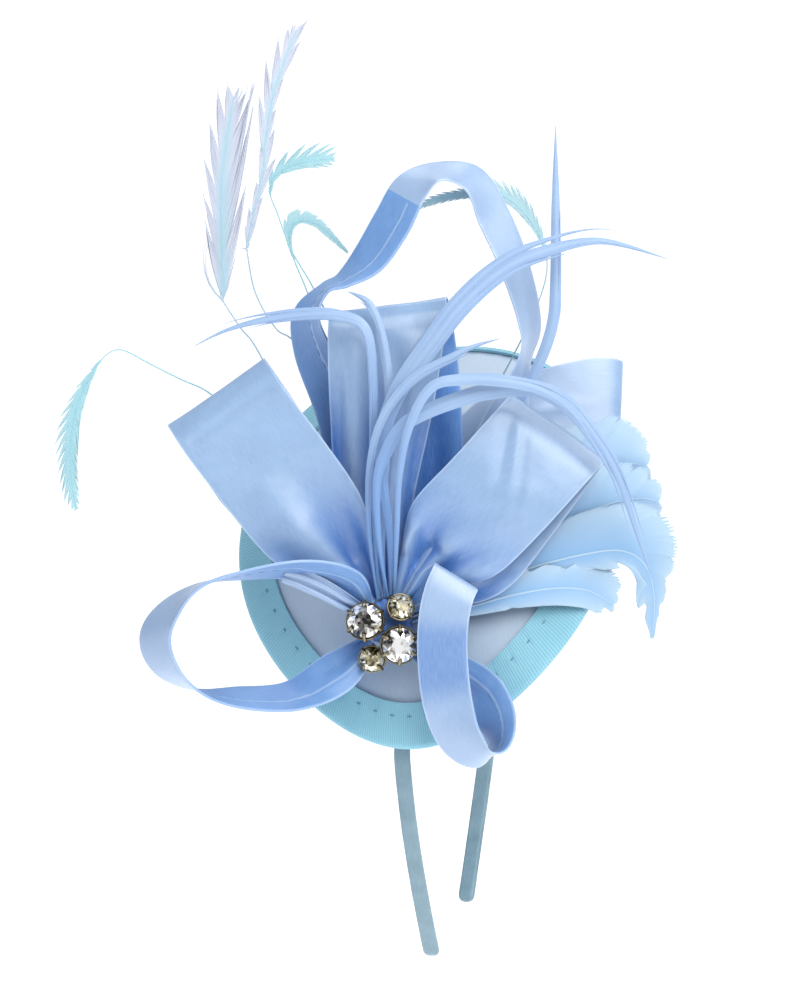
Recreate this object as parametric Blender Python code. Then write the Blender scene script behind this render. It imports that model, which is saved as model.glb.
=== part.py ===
"""Fascinator: a satin teardrop base on a headband, trimmed with ribbon loops, feathers and stones.

Metres, +Z up. The origin is the inner face of the headband's crown, where it sits on the head.
The band stands in the Y-Z plane, the trimmed side faces -Y and the wearer looks along +X.
"""

import math

import bmesh
import bpy
from mathutils import Vector

clearance = 0.0003

bandWidth = 0.0056
bandThickness = 0.0023
bandInnerWidth = 0.126
bandCrownHeight = 0.075
bandLegHeight = 0.0735
bandTipSpan = 0.075
bandTwist = math.radians(-2.7)
bandTipTwist = math.radians(4.9)
bandTipLength = 0.003

baseLength = 0.152
baseWidth = 0.129
baseCloth = 0.002
baseLengthRadius = 0.115
baseAcrossRadius = 0.150
basePoint = 0.16
basePointPower = 2.2
baseShoulder = 0.03
baseTurn = math.radians(-8)
baseRoll = math.radians(-7)
seatAngle = math.radians(10.5)
seatDrop = 0.0685
seatClearance = 0.0009
seatSide = 0.001

bindingWidth = 0.012
bindingCloth = 0.001

trimTurn = math.radians(12)
trimTilt = math.radians(12.3)
knotAcross = -0.0075
knotAlong = -0.0390
knotRadius = 0.008
knotHeight = 0.0172

ribbonCloth = 0.001
wideRibbon = 0.0395
narrowRibbon = 0.0168
pleatDepth = 0.0005

wideLeftReach = 0.100
wideCentreReach = 0.100
wideRightReach = 0.100
wideBackReach = 0.100
narrowLeftReach = 0.100
narrowLowerReach = 0.100
narrowTopReach = 0.100

biotReach = 0.100
biotThickness = 0.0011
hackleReach = 0.100
hackleStem = 0.0007
fanReach = 0.100
fanStem = 0.0011

largeStone = 0.0118
smallStone = 0.0082
stoneHeightShare = 0.52
settingWall = 0.0005
clawShare = 0.72
cupRimShare = 0.5

colours = {
    "satin_band": (0.35, 0.52, 0.68),
    "satin_base": (0.36, 0.45, 0.64),
    "grosgrain": (0.20, 0.49, 0.60),
    "satin_ribbon": (0.37, 0.53, 0.81),
    "feather": (0.42, 0.58, 0.78),
    "feather_pale": (0.58, 0.76, 0.83),
    "knot": (0.20, 0.32, 0.60),
    "crystal": (0.80, 0.82, 0.84),
    "dark_brass": (0.16, 0.13, 0.09),
}

finishes = {
    "satin_band": (0.45, 0.0),
    "satin_base": (0.45, 0.0),
    "grosgrain": (0.85, 0.0),
    "satin_ribbon": (0.35, 0.0),
    "feather": (0.7, 0.0),
    "feather_pale": (0.8, 0.0),
    "knot": (0.7, 0.0),
    "crystal": (0.05, 0.0),
    "dark_brass": (0.35, 1.0),
}


def clearScene():
    for thing in list(bpy.data.objects):
        bpy.data.objects.remove(thing, do_unlink=True)


def materialFor(name):
    material = bpy.data.materials.get(name)
    if material is None:
        material = bpy.data.materials.new(name)
        material.use_nodes = True
        shader = material.node_tree.nodes["Principled BSDF"]
        shader.inputs["Base Color"].default_value = (*colours[name], 1)
        shader.inputs["Roughness"].default_value = finishes[name][0]
        shader.inputs["Metallic"].default_value = finishes[name][1]
    return material


def addSolid(name, points, faces, material, smooth=True):
    mesh = bpy.data.meshes.new(name)
    mesh.from_pydata([tuple(p) for p in points], [], faces)
    work = bmesh.new()
    work.from_mesh(mesh)
    bmesh.ops.recalc_face_normals(work, faces=work.faces)
    if work.calc_volume(signed=True) < 0:
        bmesh.ops.reverse_faces(work, faces=work.faces)
    work.to_mesh(mesh)
    work.free()
    if smooth:
        mesh.shade_smooth()
        mesh.set_sharp_from_angle(angle=math.radians(40))
    mesh.materials.append(materialFor(material))
    solid = bpy.data.objects.new(name, mesh)
    bpy.context.scene.collection.objects.link(solid)
    return solid


def loftRings(name, rings, material, smooth=True):
    """Skins closed rings of equal point counts and caps both ends."""
    count = len(rings[0])
    points = [p for ring in rings for p in ring]
    faces = []
    for row in range(len(rings) - 1):
        for col in range(count):
            near = row * count + col
            side = row * count + (col + 1) % count
            faces.append((near, side, side + count, near + count))
    faces.append(tuple(range(count - 1, -1, -1)))
    last = (len(rings) - 1) * count
    faces.append(tuple(range(last, last + count)))
    return addSolid(name, points, faces, material, smooth)


def smoothRows(rows, steps):
    """Catmull-Rom through the rows of a table, with steps points to each gap."""
    fine = []
    for k in range(len(rows) - 1):
        before = rows[max(k - 1, 0)]
        start = rows[k]
        end = rows[k + 1]
        after = rows[min(k + 2, len(rows) - 1)]
        for j in range(steps):
            t = j / steps
            row = []
            for a, b, c, d in zip(before, start, end, after):
                slope = (c - a) / 2
                slopeEnd = (d - b) / 2
                value = (
                    b
                    + slope * t
                    + (3 * (c - b) - 2 * slope - slopeEnd) * t * t
                    + (2 * (b - c) + slope + slopeEnd) * t * t * t
                )
                row.append(value)
            fine.append(tuple(row))
    fine.append(tuple(rows[-1]))
    return fine


def turned(angle, lift):
    """Unit vector out of the -Y side, turned about Z and lifted from the level."""
    return Vector(
        (math.sin(angle) * math.cos(lift), -math.cos(angle) * math.cos(lift), math.sin(lift))
    )


def tangents(path):
    found = []
    for k in range(len(path)):
        ahead = path[min(k + 1, len(path) - 1)]
        behind = path[max(k - 1, 0)]
        found.append((ahead - behind).normalized())
    return found


# Headband: a half ellipse over the crown, then legs that lean in to the tips.
halfSpan = bandInnerWidth / 2 + bandThickness / 2
tipHalf = bandTipSpan / 2
widestLevel = -bandCrownHeight


def bandPoint(angle):
    """Middle of the band's thickness over the crown; angle runs from -Y level up to +Y level."""
    rise = bandCrownHeight + bandThickness / 2
    return Vector((0, -halfSpan * math.cos(angle), widestLevel + rise * math.sin(angle)))


def bandPath():
    path = []
    legSteps = 10
    crownSteps = 24
    lean = halfSpan - tipHalf
    for k in range(legSteps):
        share = 1 - k / legSteps
        path.append(Vector((0, -halfSpan + lean * share**2, widestLevel - bandLegHeight * share)))
    for k in range(crownSteps + 1):
        path.append(bandPoint(math.pi * k / crownSteps))
    for k in range(1, legSteps + 1):
        share = k / legSteps
        path.append(Vector((0, halfSpan - lean * share**2, widestLevel - bandLegHeight * share)))
    return path


def makeHeadband():
    path = bandPath()
    along = tangents(path)
    rings = []
    shape = [
        (-0.5, -0.2), (-0.34, -0.5), (0.34, -0.5), (0.5, -0.2),
        (0.5, 0.2), (0.34, 0.5), (-0.34, 0.5), (-0.5, 0.2),
    ]
    ends = [(0.0, 0.45), (0.35, 0.85), (1.0, 1.0)]
    for k, (point, way) in enumerate(zip(path, along)):
        drop = max(0.0, (widestLevel - point.z) / bandLegHeight)
        twist = bandTwist + bandTipTwist * drop
        side = Vector((math.cos(twist), math.sin(twist), 0))
        place = Vector((-point.y * math.sin(twist), point.y * math.cos(twist), point.z))
        wayHere = Vector((-way.y * math.sin(twist), way.y * math.cos(twist), way.z))
        out = side.cross(wayHere).normalized()
        stations = [(0.0, 1.0)]
        if k == 0:
            stations = [(-bandTipLength * (1 - s), w) for s, w in ends]
        if k == len(path) - 1:
            stations = [(bandTipLength * (1 - s), w) for s, w in reversed(ends)]
        for shift, size in stations:
            centre = place + wayHere * shift
            rings.append(
                [
                    centre + side * (x * bandWidth * size) + out * (y * bandThickness * size)
                    for x, y in shape
                ]
            )
    return loftRings("headband", rings, "satin_band")


# Base: a rounded teardrop outline on a dome, seated on the band's near shoulder.
baseTilt = seatAngle + math.atan(seatDrop / baseLengthRadius)
baseOut = turned(baseTurn, baseTilt)
plumbUp = turned(baseTurn, baseTilt - math.pi / 2) * -1
plumbSide = plumbUp.cross(baseOut)
baseUp = plumbUp * math.cos(baseRoll) + plumbSide * math.sin(baseRoll)
baseSide = baseUp.cross(baseOut)


def domeOffset(across, along, lift):
    """Point of the dome about its apex; lift is measured along the dome's own normal."""
    fall = across**2 / (2 * baseAcrossRadius) + along**2 / (2 * baseLengthRadius)
    slope = baseOut + baseSide * (across / baseAcrossRadius) + baseUp * (along / baseLengthRadius)
    place = baseSide * across + baseUp * along - baseOut * fall
    return place + slope.normalized() * lift


def domeNormal(across, along):
    slope = baseOut + baseSide * (across / baseAcrossRadius) + baseUp * (along / baseLengthRadius)
    return slope.normalized()


bandOuterSeat = bandPoint(seatAngle) + turned(0, seatAngle) * (bandThickness / 2)
bandOuterSeat.x += seatSide
seatStack = bindingCloth + clearance + seatClearance
baseApex = bandOuterSeat - domeOffset(0, -seatDrop, -seatStack)


def outline(angle):
    """Rim of the teardrop: angle runs from +across towards +along."""
    across = math.cos(angle)
    along = math.sin(angle)
    narrow = 1 - basePoint * max(0.0, -along) ** basePointPower
    full = 1 + baseShoulder * max(0.0, along) * abs(across)
    return Vector((across * narrow * full * baseWidth / 2, along * baseLength / 2))


def dome(angle, inset, lift):
    rim = outline(angle)
    size = rim.length
    flat = rim * ((size - inset) / size)
    return baseApex + domeOffset(flat.x, flat.y, lift)


rimSectors = 56


def makeBase():
    """Rings under the binding are set in by its width; those inside by shares of the outline."""
    rings = [(0.0, 0.0), (bindingWidth / 2, 0.0), (bindingWidth, 0.0), (0.0, 0.325), (0.0, 0.595)]
    points = []
    for lift in (0.0, baseCloth):
        for inset, share in rings:
            for k in range(rimSectors):
                angle = 2 * math.pi * k / rimSectors
                points.append(dome(angle, inset + share * outline(angle).length, lift))
        points.append(baseApex + domeOffset(0, 0, lift))
    half = len(points) // 2
    faces = []
    for side in (0, half):
        for row in range(len(rings) - 1):
            for k in range(rimSectors):
                n = (k + 1) % rimSectors
                a = side + row * rimSectors + k
                b = side + row * rimSectors + n
                faces.append((a, b, b + rimSectors, a + rimSectors))
        last = side + (len(rings) - 1) * rimSectors
        for k in range(rimSectors):
            faces.append((last + k, last + (k + 1) % rimSectors, side + half - 1))
    for k in range(rimSectors):
        n = (k + 1) % rimSectors
        faces.append((k, n, half + n, half + k))
    return addSolid("base", points, faces, "satin_base")


def makeBinding():
    """A folded ribbon: outer face, turned edge and inner face, clear of the cloth by the gap."""
    inner = clearance
    outer = clearance + bindingCloth
    top = baseCloth
    profile = [
        (bindingWidth, top + inner), (bindingWidth / 2, top + inner), (-inner, top + inner),
        (-inner, -inner), (bindingWidth / 2, -inner), (bindingWidth, -inner),
        (bindingWidth, -outer), (bindingWidth / 2, -outer), (-outer * 0.6, -outer),
        (-outer, top / 2),
        (-outer * 0.6, top + outer), (bindingWidth / 2, top + outer), (bindingWidth, top + outer),
    ]
    count = len(profile)
    points = []
    for k in range(rimSectors):
        angle = 2 * math.pi * k / rimSectors
        for inset, lift in profile:
            points.append(dome(angle, inset, lift))
    faces = []
    for k in range(rimSectors):
        n = (k + 1) % rimSectors
        for j in range(count):
            m = (j + 1) % count
            faces.append((k * count + j, k * count + m, n * count + m, n * count + j))
    return addSolid("base_binding", points, faces, "grosgrain")


# Trimming frame: across, up and out, with its zero on the base's face under the knot.
trimOut = turned(trimTurn, trimTilt)
trimAcross = Vector((math.cos(trimTurn), math.sin(trimTurn), 0))
trimUp = trimOut.cross(trimAcross)
knotFoot = baseApex + domeOffset(knotAcross, knotAlong, baseCloth)
knotNormal = domeNormal(knotAcross, knotAlong)


def trimPoint(across, up, out):
    return knotFoot + trimAcross * across + trimUp * up + trimOut * out


def makeKnot():
    sides = 20
    lean = trimOut.dot(knotNormal)
    rings = []
    for level, size in ((0.0, 1.0), (0.93, 1.0), (1.0, 0.9)):
        ring = []
        for k in range(sides):
            angle = 2 * math.pi * k / sides
            flat = Vector((math.cos(angle), math.sin(angle))) * knotRadius * size
            point = trimPoint(flat.x, flat.y, knotHeight * level)
            if level == 0.0:
                rise = (point - knotFoot).dot(knotNormal) - clearance
                point = point - trimOut * (rise / lean)
            ring.append(point)
        rings.append(ring)
    return loftRings("trim_knot", rings, "knot")


def ribbonPath(rows, reach, steps):
    """Rows of across, up, out, spin, tip and gather; gives centres, width ways and gathers."""
    centres = []
    sides = []
    gathers = []
    for across, up, out, spin, tip, gather in smoothRows(rows, steps):
        turn = math.radians(spin)
        lean = math.radians(tip)
        flat = trimAcross * math.cos(turn) + trimUp * math.sin(turn)
        centres.append(trimPoint(across * reach, up * reach, out * reach))
        sides.append(flat * math.cos(lean) + trimOut * math.sin(lean))
        gathers.append(gather)
    return centres, sides, gathers


def makeRibbon(name, rows, reach, width, columns, steps=2):
    """Lofts a strip of cloth along its path; where it is gathered, the cloth is pleated."""
    centres, sides, gathers = ribbonPath(rows, reach, steps)
    ways = tangents(centres)
    half = ribbonCloth / 2
    rings = []
    for centre, side, gather, way in zip(centres, sides, gathers, ways):
        face = side.cross(way).normalized()
        square = way.cross(face).normalized()
        lay = (side + square).normalized()
        front = []
        back = []
        for col in range(columns + 1):
            across = (col / columns - 0.5) * width * gather
            fold = pleatDepth * (1 - gather) * (1 if col % 2 else -1)
            spot = centre + lay * across + face * fold
            front.append(spot + face * half)
            back.append(spot - face * half)
        rings.append(front + back[::-1])
    return loftRings(name, rings, "satin_ribbon")


# Every loop's rows: across, up, out (shares of its reach), spin, tip (degrees), gather.
wideLeftRows = [
    (-0.050, 0.068, 0.144, 37, 0, 0.20),
    (-0.130, 0.178, 0.174, 35, 0, 0.52),
    (-0.235, 0.310, 0.215, 35, 0, 0.92),
    (-0.380, 0.500, 0.245, 35, 0, 1.00),
    (-0.505, 0.665, 0.258, 34, 0, 1.00),
    (-0.560, 0.748, 0.215, 35, 0, 1.00),
    (-0.570, 0.764, 0.168, 35, 0, 1.00),
    (-0.538, 0.718, 0.138, 35, 0, 1.00),
    (-0.400, 0.520, 0.156, 35, 0, 1.00),
    (-0.240, 0.310, 0.170, 35, 0, 0.84),
    (-0.130, 0.176, 0.142, 35, 0, 0.46),
    (-0.050, 0.068, 0.124, 37, 0, 0.20),
]

wideCentreRows = [
    (0.000, 0.084, 0.100, 0, 0, 0.20),
    (-0.015, 0.220, 0.112, 3, 0, 0.42),
    (-0.040, 0.420, 0.136, 5, 0, 0.66),
    (-0.020, 0.720, 0.148, 6, 0, 0.88),
    (-0.004, 0.970, 0.155, 7, 0, 1.00),
    (0.000, 1.045, 0.125, 7, 0, 1.00),
    (0.000, 1.058, 0.092, 7, 0, 1.00),
    (0.004, 1.015, 0.062, 7, 0, 1.00),
    (0.030, 0.720, 0.055, 6, 0, 0.95),
    (0.060, 0.420, 0.036, 5, 0, 0.70),
    (0.010, 0.220, 0.042, 0, 0, 0.38),
    (0.000, 0.084, 0.080, 0, 0, 0.20),
]

wideRightRows = [
    (0.056, 0.064, 0.146, -38, 0, 0.22),
    (0.125, 0.168, 0.172, -38, 0, 0.52),
    (0.215, 0.280, 0.230, -36, 0, 0.96),
    (0.350, 0.430, 0.285, -35, 0, 1.00),
    (0.485, 0.580, 0.280, -35, 0, 1.00),
    (0.545, 0.645, 0.240, -35, 0, 1.00),
    (0.558, 0.655, 0.200, -35, 0, 1.00),
    (0.525, 0.612, 0.165, -35, 0, 1.00),
    (0.380, 0.450, 0.150, -35, 0, 1.00),
    (0.220, 0.270, 0.150, -36, 0, 0.80),
    (0.125, 0.158, 0.138, -38, 0, 0.46),
    (0.056, 0.064, 0.126, -38, 0, 0.22),
]

wideBackRows = [
    (0.034, 0.078, 0.046, -24, 0, 0.16),
    (0.120, 0.230, 0.028, -27, 8, 0.50),
    (0.260, 0.440, 0.028, -38, 10, 0.85),
    (0.460, 0.610, 0.000, -52, 8, 1.00),
    (0.660, 0.700, -0.020, -70, 10, 1.00),
    (0.738, 0.700, -0.050, -77, 12, 1.00),
    (0.715, 0.685, -0.090, -76, 12, 1.00),
    (0.600, 0.655, -0.080, -68, 16, 1.00),
    (0.440, 0.560, -0.040, -52, 16, 1.00),
    (0.260, 0.420, -0.012, -38, 14, 0.80),
    (0.120, 0.230, 0.006, -27, 8, 0.45),
    (0.034, 0.078, 0.026, -24, 0, 0.16),
]

narrowLeftRows = [
    (-0.070, 0.045, 0.162, 52, 10, 0.30),
    (-0.134, 0.132, 0.214, 62, 35, 0.80),
    (-0.295, 0.166, 0.265, 88, 55, 1.00),
    (-0.480, 0.150, 0.270, 98, 75, 1.00),
    (-0.630, 0.122, 0.260, 115, 92, 1.00),
    (-0.738, 0.027, 0.240, 150, 118, 1.00),
    (-0.780, -0.067, 0.220, 180, 128, 1.00),
    (-0.744, -0.161, 0.205, 215, 118, 1.00),
    (-0.647, -0.235, 0.190, 246, 90, 1.00),
    (-0.513, -0.262, 0.175, 266, 65, 1.00),
    (-0.328, -0.258, 0.155, 280, 50, 1.00),
    (-0.178, -0.176, 0.130, 302, 25, 0.95),
    (-0.090, -0.100, 0.112, 315, 5, 0.55),
    (-0.058, -0.062, 0.108, 315, 0, 0.30),
]

narrowLowerRows = [
    (0.066, 0.052, 0.163, -38, 0, 0.30),
    (0.110, 0.078, 0.180, -35, 0, 0.55),
    (0.180, 0.118, 0.200, -31, 0, 0.98),
    (0.222, 0.148, 0.220, -31, 0, 1.00),
    (0.226, 0.146, 0.245, -31, 0, 1.00),
    (0.206, 0.100, 0.262, -24, 0, 1.00),
    (0.188, 0.020, 0.264, -8, 0, 1.00),
    (0.182, -0.100, 0.262, 4, 0, 1.00),
    (0.198, -0.260, 0.256, 20, 10, 1.00),
    (0.240, -0.385, 0.245, 42, 32, 1.00),
    (0.312, -0.455, 0.224, 75, 60, 1.00),
    (0.390, -0.425, 0.206, 130, 92, 1.00),
    (0.402, -0.335, 0.200, 190, 120, 1.00),
    (0.338, -0.242, 0.178, 218, 148, 1.00),
    (0.220, -0.172, 0.142, 232, 172, 0.85),
    (0.125, -0.110, 0.118, 230, 180, 0.50),
    (0.064, -0.060, 0.112, 227, 180, 0.28),
]

narrowTopRows = [
    (-0.022, 0.081, 0.056, 10, 0, 0.30),
    (-0.060, 0.240, 0.022, 10, 0, 0.80),
    (-0.110, 0.440, -0.015, 10, 5, 0.95),
    (-0.160, 0.700, -0.040, 10, 14, 1.00),
    (-0.248, 0.905, -0.018, 0, 36, 1.00),
    (-0.268, 1.030, 0.048, -15, 58, 1.00),
    (-0.211, 1.115, 0.080, -40, 76, 1.00),
    (-0.144, 1.149, 0.100, -50, 68, 1.00),
    (-0.060, 1.220, 0.110, -42, 45, 1.00),
    (0.017, 1.340, 0.110, -34, 38, 1.00),
    (0.075, 1.465, 0.100, -45, 45, 1.00),
    (0.165, 1.530, 0.080, -85, 66, 1.00),
    (0.288, 1.492, 0.060, -118, 55, 1.00),
    (0.355, 1.357, 0.050, -148, 48, 1.00),
    (0.420, 1.206, 0.050, -155, 52, 1.00),
    (0.474, 1.005, 0.060, -178, 62, 1.00),
    (0.455, 0.865, 0.075, -193, 50, 1.00),
    (0.370, 0.620, 0.085, -205, 22, 0.95),
    (0.215, 0.310, 0.088, -212, 0, 0.62),
    (0.060, 0.060, 0.070, -222, 0, 0.24),
]


def makeBiot(name, rows, reach, widest):
    """A split quill strand: a shallow V of barb, thin at the edges, that runs out to a point."""
    fine = smoothRows(rows, 2)
    centres = [trimPoint(a * reach, u * reach, o * reach) for a, u, o, w in fine]
    ways = tangents(centres)
    rings = []
    for centre, way, row in zip(centres, ways, fine):
        side = way.cross(trimOut).normalized()
        face = side.cross(way).normalized()
        half = widest * row[3] / 2
        depth = biotThickness * (0.35 + 0.65 * row[3]) / 2
        rings.append(
            [centre + side * half, centre + face * depth * 0.4 - side * half * 0.1,
             centre - side * half, centre - face * depth * 1.6]
        )
    return loftRings(name, rings, "feather")


# Every strand's rows: across, up, out (shares of the reach) and width share.
biotTable = {
    "biot_short": (0.0034, [
        (-0.010, 0.083, 0.159, 0.30), (-0.015, 0.250, 0.205, 0.45), (-0.010, 0.470, 0.225, 0.70),
        (0.005, 0.740, 0.230, 0.90), (-0.015, 0.930, 0.225, 1.00), (-0.060, 1.060, 0.210, 0.80),
        (-0.134, 1.105, 0.190, 0.06),
    ]),
    "biot_left": (0.0040, [
        (-0.030, 0.079, 0.159, 0.25), (-0.040, 0.250, 0.195, 0.40), (-0.050, 0.500, 0.225, 0.60),
        (-0.050, 0.800, 0.255, 0.80), (-0.075, 0.975, 0.260, 0.90), (-0.170, 1.022, 0.250, 1.00),
        (-0.295, 1.024, 0.240, 0.90), (-0.430, 1.005, 0.230, 0.60), (-0.546, 0.971, 0.220, 0.30),
        (-0.646, 0.921, 0.210, 0.05),
    ]),
    "biot_right": (0.0056, [
        (0.010, 0.084, 0.159, 0.20), (0.005, 0.300, 0.250, 0.40), (-0.020, 0.500, 0.275, 0.60),
        (-0.012, 0.640, 0.285, 0.75), (0.020, 0.737, 0.290, 0.85), (0.066, 0.820, 0.290, 0.95),
        (0.140, 0.920, 0.285, 1.00), (0.238, 1.049, 0.280, 1.00), (0.375, 1.170, 0.270, 1.00),
        (0.510, 1.233, 0.260, 0.95), (0.710, 1.273, 0.240, 0.50), (0.930, 1.216, 0.220, 0.05),
    ]),
    "biot_upper": (0.0034, [
        (-0.034, 0.077, 0.169, 0.22), (-0.062, 0.300, 0.260, 0.50), (-0.060, 0.516, 0.310, 0.75),
        (-0.017, 0.680, 0.330, 0.90), (0.080, 0.807, 0.335, 1.00), (0.214, 0.884, 0.330, 0.80),
        (0.290, 0.920, 0.320, 0.45), (0.375, 0.945, 0.310, 0.06),
    ]),
    "biot_fall": (0.0048, [
        (0.000, 0.085, 0.169, 0.20), (-0.030, 0.280, 0.300, 0.40), (-0.035, 0.472, 0.350, 0.60),
        (0.000, 0.576, 0.370, 0.75), (0.050, 0.653, 0.375, 0.85), (0.120, 0.697, 0.375, 0.90),
        (0.220, 0.737, 0.375, 0.95), (0.330, 0.768, 0.370, 1.00), (0.476, 0.780, 0.355, 1.00),
        (0.586, 0.735, 0.345, 1.00), (0.687, 0.620, 0.335, 0.85), (0.765, 0.490, 0.320, 0.65),
        (0.830, 0.300, 0.290, 0.40), (0.884, 0.134, 0.260, 0.05),
    ]),
    "biot_fall_low": (0.0040, [
        (0.022, 0.083, 0.169, 0.22), (0.030, 0.300, 0.310, 0.50), (0.040, 0.500, 0.400, 0.60),
        (0.075, 0.660, 0.430, 0.80), (0.145, 0.780, 0.435, 0.90), (0.250, 0.805, 0.430, 1.00),
        (0.380, 0.800, 0.425, 1.00), (0.510, 0.770, 0.415, 0.85), (0.610, 0.700, 0.400, 0.50),
        (0.690, 0.585, 0.380, 0.05),
    ]),
    "biot_upright": (0.0044, [
        (0.048, 0.069, 0.096, 0.25), (0.200, 0.350, 0.100, 0.50), (0.410, 0.690, 0.120, 0.80),
        (0.500, 0.850, 0.130, 0.95), (0.552, 1.000, 0.140, 1.00), (0.562, 1.150, 0.140, 0.95),
        (0.562, 1.400, 0.130, 0.70), (0.562, 1.660, 0.120, 0.05),
    ]),
}


def makeFeather(name, rows, reach, stem, locks, sweep, material):
    """A stem that carries a vane; the vane's edge is cut into locks that lean to the tip."""
    fine = smoothRows(rows, locks)
    centres = [trimPoint(a * reach, u * reach, o * reach) for a, u, o, left, right in fine]
    ways = tangents(centres)
    rings = []
    for k, (centre, way, row) in enumerate(zip(centres, ways, fine)):
        side = way.cross(trimOut).normalized()
        face = side.cross(way).normalized()
        notch = 1.0 if k % 2 else 0.72
        leftSize = max(row[3] * reach * notch, stem / 2)
        rightSize = max(row[4] * reach * notch, stem / 2)
        thick = stem / 2 if k < len(fine) - 1 else stem / 4
        rings.append(
            [centre - side * leftSize + way * (leftSize * sweep), centre + face * thick,
             centre + side * rightSize + way * (rightSize * sweep), centre - face * thick]
        )
    return loftRings(name, rings, material, smooth=False)


# Every feather's rows: across, up, out (shares of the reach), left and right barb lengths.
hackleTable = {
    "hackle_left": [
        (-0.040, 0.074, 0.020, 0, 0), (-0.220, 0.450, -0.060, 0, 0), (-0.422, 0.881, -0.060, 0, 0),
        (-0.496, 0.988, -0.030, 0, 0), (-0.556, 1.085, 0.000, 0.004, 0.004),
        (-0.546, 1.165, 0.010, 0.040, 0.035), (-0.549, 1.286, 0.010, 0.055, 0.060),
        (-0.556, 1.484, 0.000, 0.050, 0.075), (-0.572, 1.640, -0.010, 0.040, 0.060),
        (-0.562, 1.790, -0.020, 0.004, 0.004),
    ],
    "hackle_tall": [
        (-0.025, 0.080, 0.020, 0, 0), (-0.130, 0.450, -0.080, 0, 0), (-0.288, 0.894, -0.090, 0, 0),
        (-0.379, 0.988, -0.070, 0, 0), (-0.446, 1.106, -0.040, 0, 0),
        (-0.474, 1.240, 0.040, 0.004, 0.004), (-0.462, 1.357, 0.060, 0.030, 0.030),
        (-0.436, 1.491, 0.060, 0.040, 0.050), (-0.415, 1.625, 0.050, 0.050, 0.050),
        (-0.389, 1.776, 0.040, 0.036, 0.045), (-0.345, 1.910, 0.030, 0.020, 0.030),
        (-0.295, 2.047, 0.020, 0.004, 0.004),
    ],
    "hackle_curl": [
        (-0.010, 0.083, 0.022, 0, 0), (-0.080, 0.450, -0.100, 0, 0), (-0.180, 0.950, -0.120, 0, 0),
        (-0.248, 1.116, -0.080, 0, 0), (-0.325, 1.250, -0.060, 0, 0), (-0.372, 1.374, -0.050, 0, 0),
        (-0.395, 1.437, -0.040, 0.004, 0.004), (-0.382, 1.495, -0.030, 0.030, 0.020),
        (-0.328, 1.531, -0.030, 0.045, 0.030), (-0.261, 1.548, -0.030, 0.040, 0.030),
        (-0.184, 1.558, -0.040, 0.004, 0.004),
    ],
    "hackle_small": [
        (-0.055, 0.064, 0.018, 0, 0), (-0.120, 0.450, -0.130, 0, 0), (-0.220, 0.950, -0.170, 0, 0),
        (-0.272, 1.110, -0.170, 0, 0), (-0.322, 1.235, -0.150, 0.004, 0.004),
        (-0.330, 1.313, -0.140, 0.030, 0.012), (-0.296, 1.350, -0.140, 0.025, 0.014),
        (-0.228, 1.333, -0.140, 0.015, 0.018), (-0.137, 1.246, -0.140, 0.004, 0.004),
    ],
    "hackle_far": [
        (-0.070, 0.046, 0.016, 0, 0), (-0.330, 0.420, -0.060, 0, 0), (-0.606, 0.780, 0.000, 0, 0),
        (-0.697, 0.814, 0.010, 0, 0), (-0.797, 0.864, 0.020, 0, 0), (-0.881, 0.908, 0.030, 0, 0),
        (-0.925, 0.908, 0.030, 0, 0), (-0.965, 0.875, 0.030, 0.004, 0.004),
        (-1.005, 0.810, 0.030, 0.020, 0.030), (-1.045, 0.715, 0.020, 0.035, 0.040),
        (-1.065, 0.603, 0.010, 0.030, 0.035), (-1.065, 0.486, 0.000, 0.022, 0.028),
        (-1.049, 0.379, 0.000, 0.004, 0.004),
    ],
    "hackle_behind": [
        (0.012, 0.083, 0.008, 0, 0), (0.030, 0.170, -0.018, 0, 0), (0.180, 0.450, -0.080, 0, 0),
        (0.400, 0.850, -0.160, 0, 0), (0.510, 1.080, -0.120, 0, 0), (0.536, 1.223, -0.080, 0.004, 0.004),
        (0.480, 1.350, -0.070, 0.030, 0.055), (0.392, 1.430, -0.060, 0.030, 0.040),
        (0.285, 1.440, -0.040, 0.020, 0.020), (0.170, 1.420, -0.020, 0.015, 0.015),
        (0.100, 1.390, 0.000, 0.004, 0.004),
    ],
}

fanTable = {
    "fan_feather_top": [
        (0.072, 0.044, 0.052, 0, 0), (0.300, 0.250, 0.070, 0.080, 0.080),
        (0.500, 0.400, 0.070, 0.160, 0.140), (0.680, 0.520, 0.060, 0.180, 0.150),
        (0.820, 0.570, 0.040, 0.140, 0.140), (0.900, 0.540, 0.020, 0.050, 0.050),
    ],
    "fan_feather_inner": [
        (0.078, 0.032, 0.056, 0, 0), (0.300, 0.170, 0.092, 0.080, 0.080),
        (0.500, 0.290, 0.095, 0.140, 0.120), (0.700, 0.400, 0.085, 0.160, 0.120),
        (0.850, 0.450, 0.065, 0.110, 0.080), (0.930, 0.450, 0.045, 0.030, 0.030),
    ],
    "fan_feather_middle": [
        (0.082, 0.018, 0.062, 0, 0), (0.280, 0.100, 0.115, 0.060, 0.060),
        (0.480, 0.180, 0.120, 0.120, 0.110), (0.700, 0.230, 0.110, 0.160, 0.150),
        (0.850, 0.190, 0.090, 0.140, 0.080), (0.925, 0.090, 0.070, 0.080, 0.050),
        (0.930, -0.020, 0.050, 0.010, 0.010),
    ],
    "fan_feather_low": [
        (0.084, 0.002, 0.078, 0, 0), (0.250, 0.020, 0.138, 0.060, 0.050),
        (0.420, 0.050, 0.148, 0.080, 0.090), (0.580, 0.060, 0.138, 0.080, 0.090),
        (0.700, 0.030, 0.115, 0.060, 0.060), (0.760, 0.000, 0.095, 0.010, 0.010),
    ],
}


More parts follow.
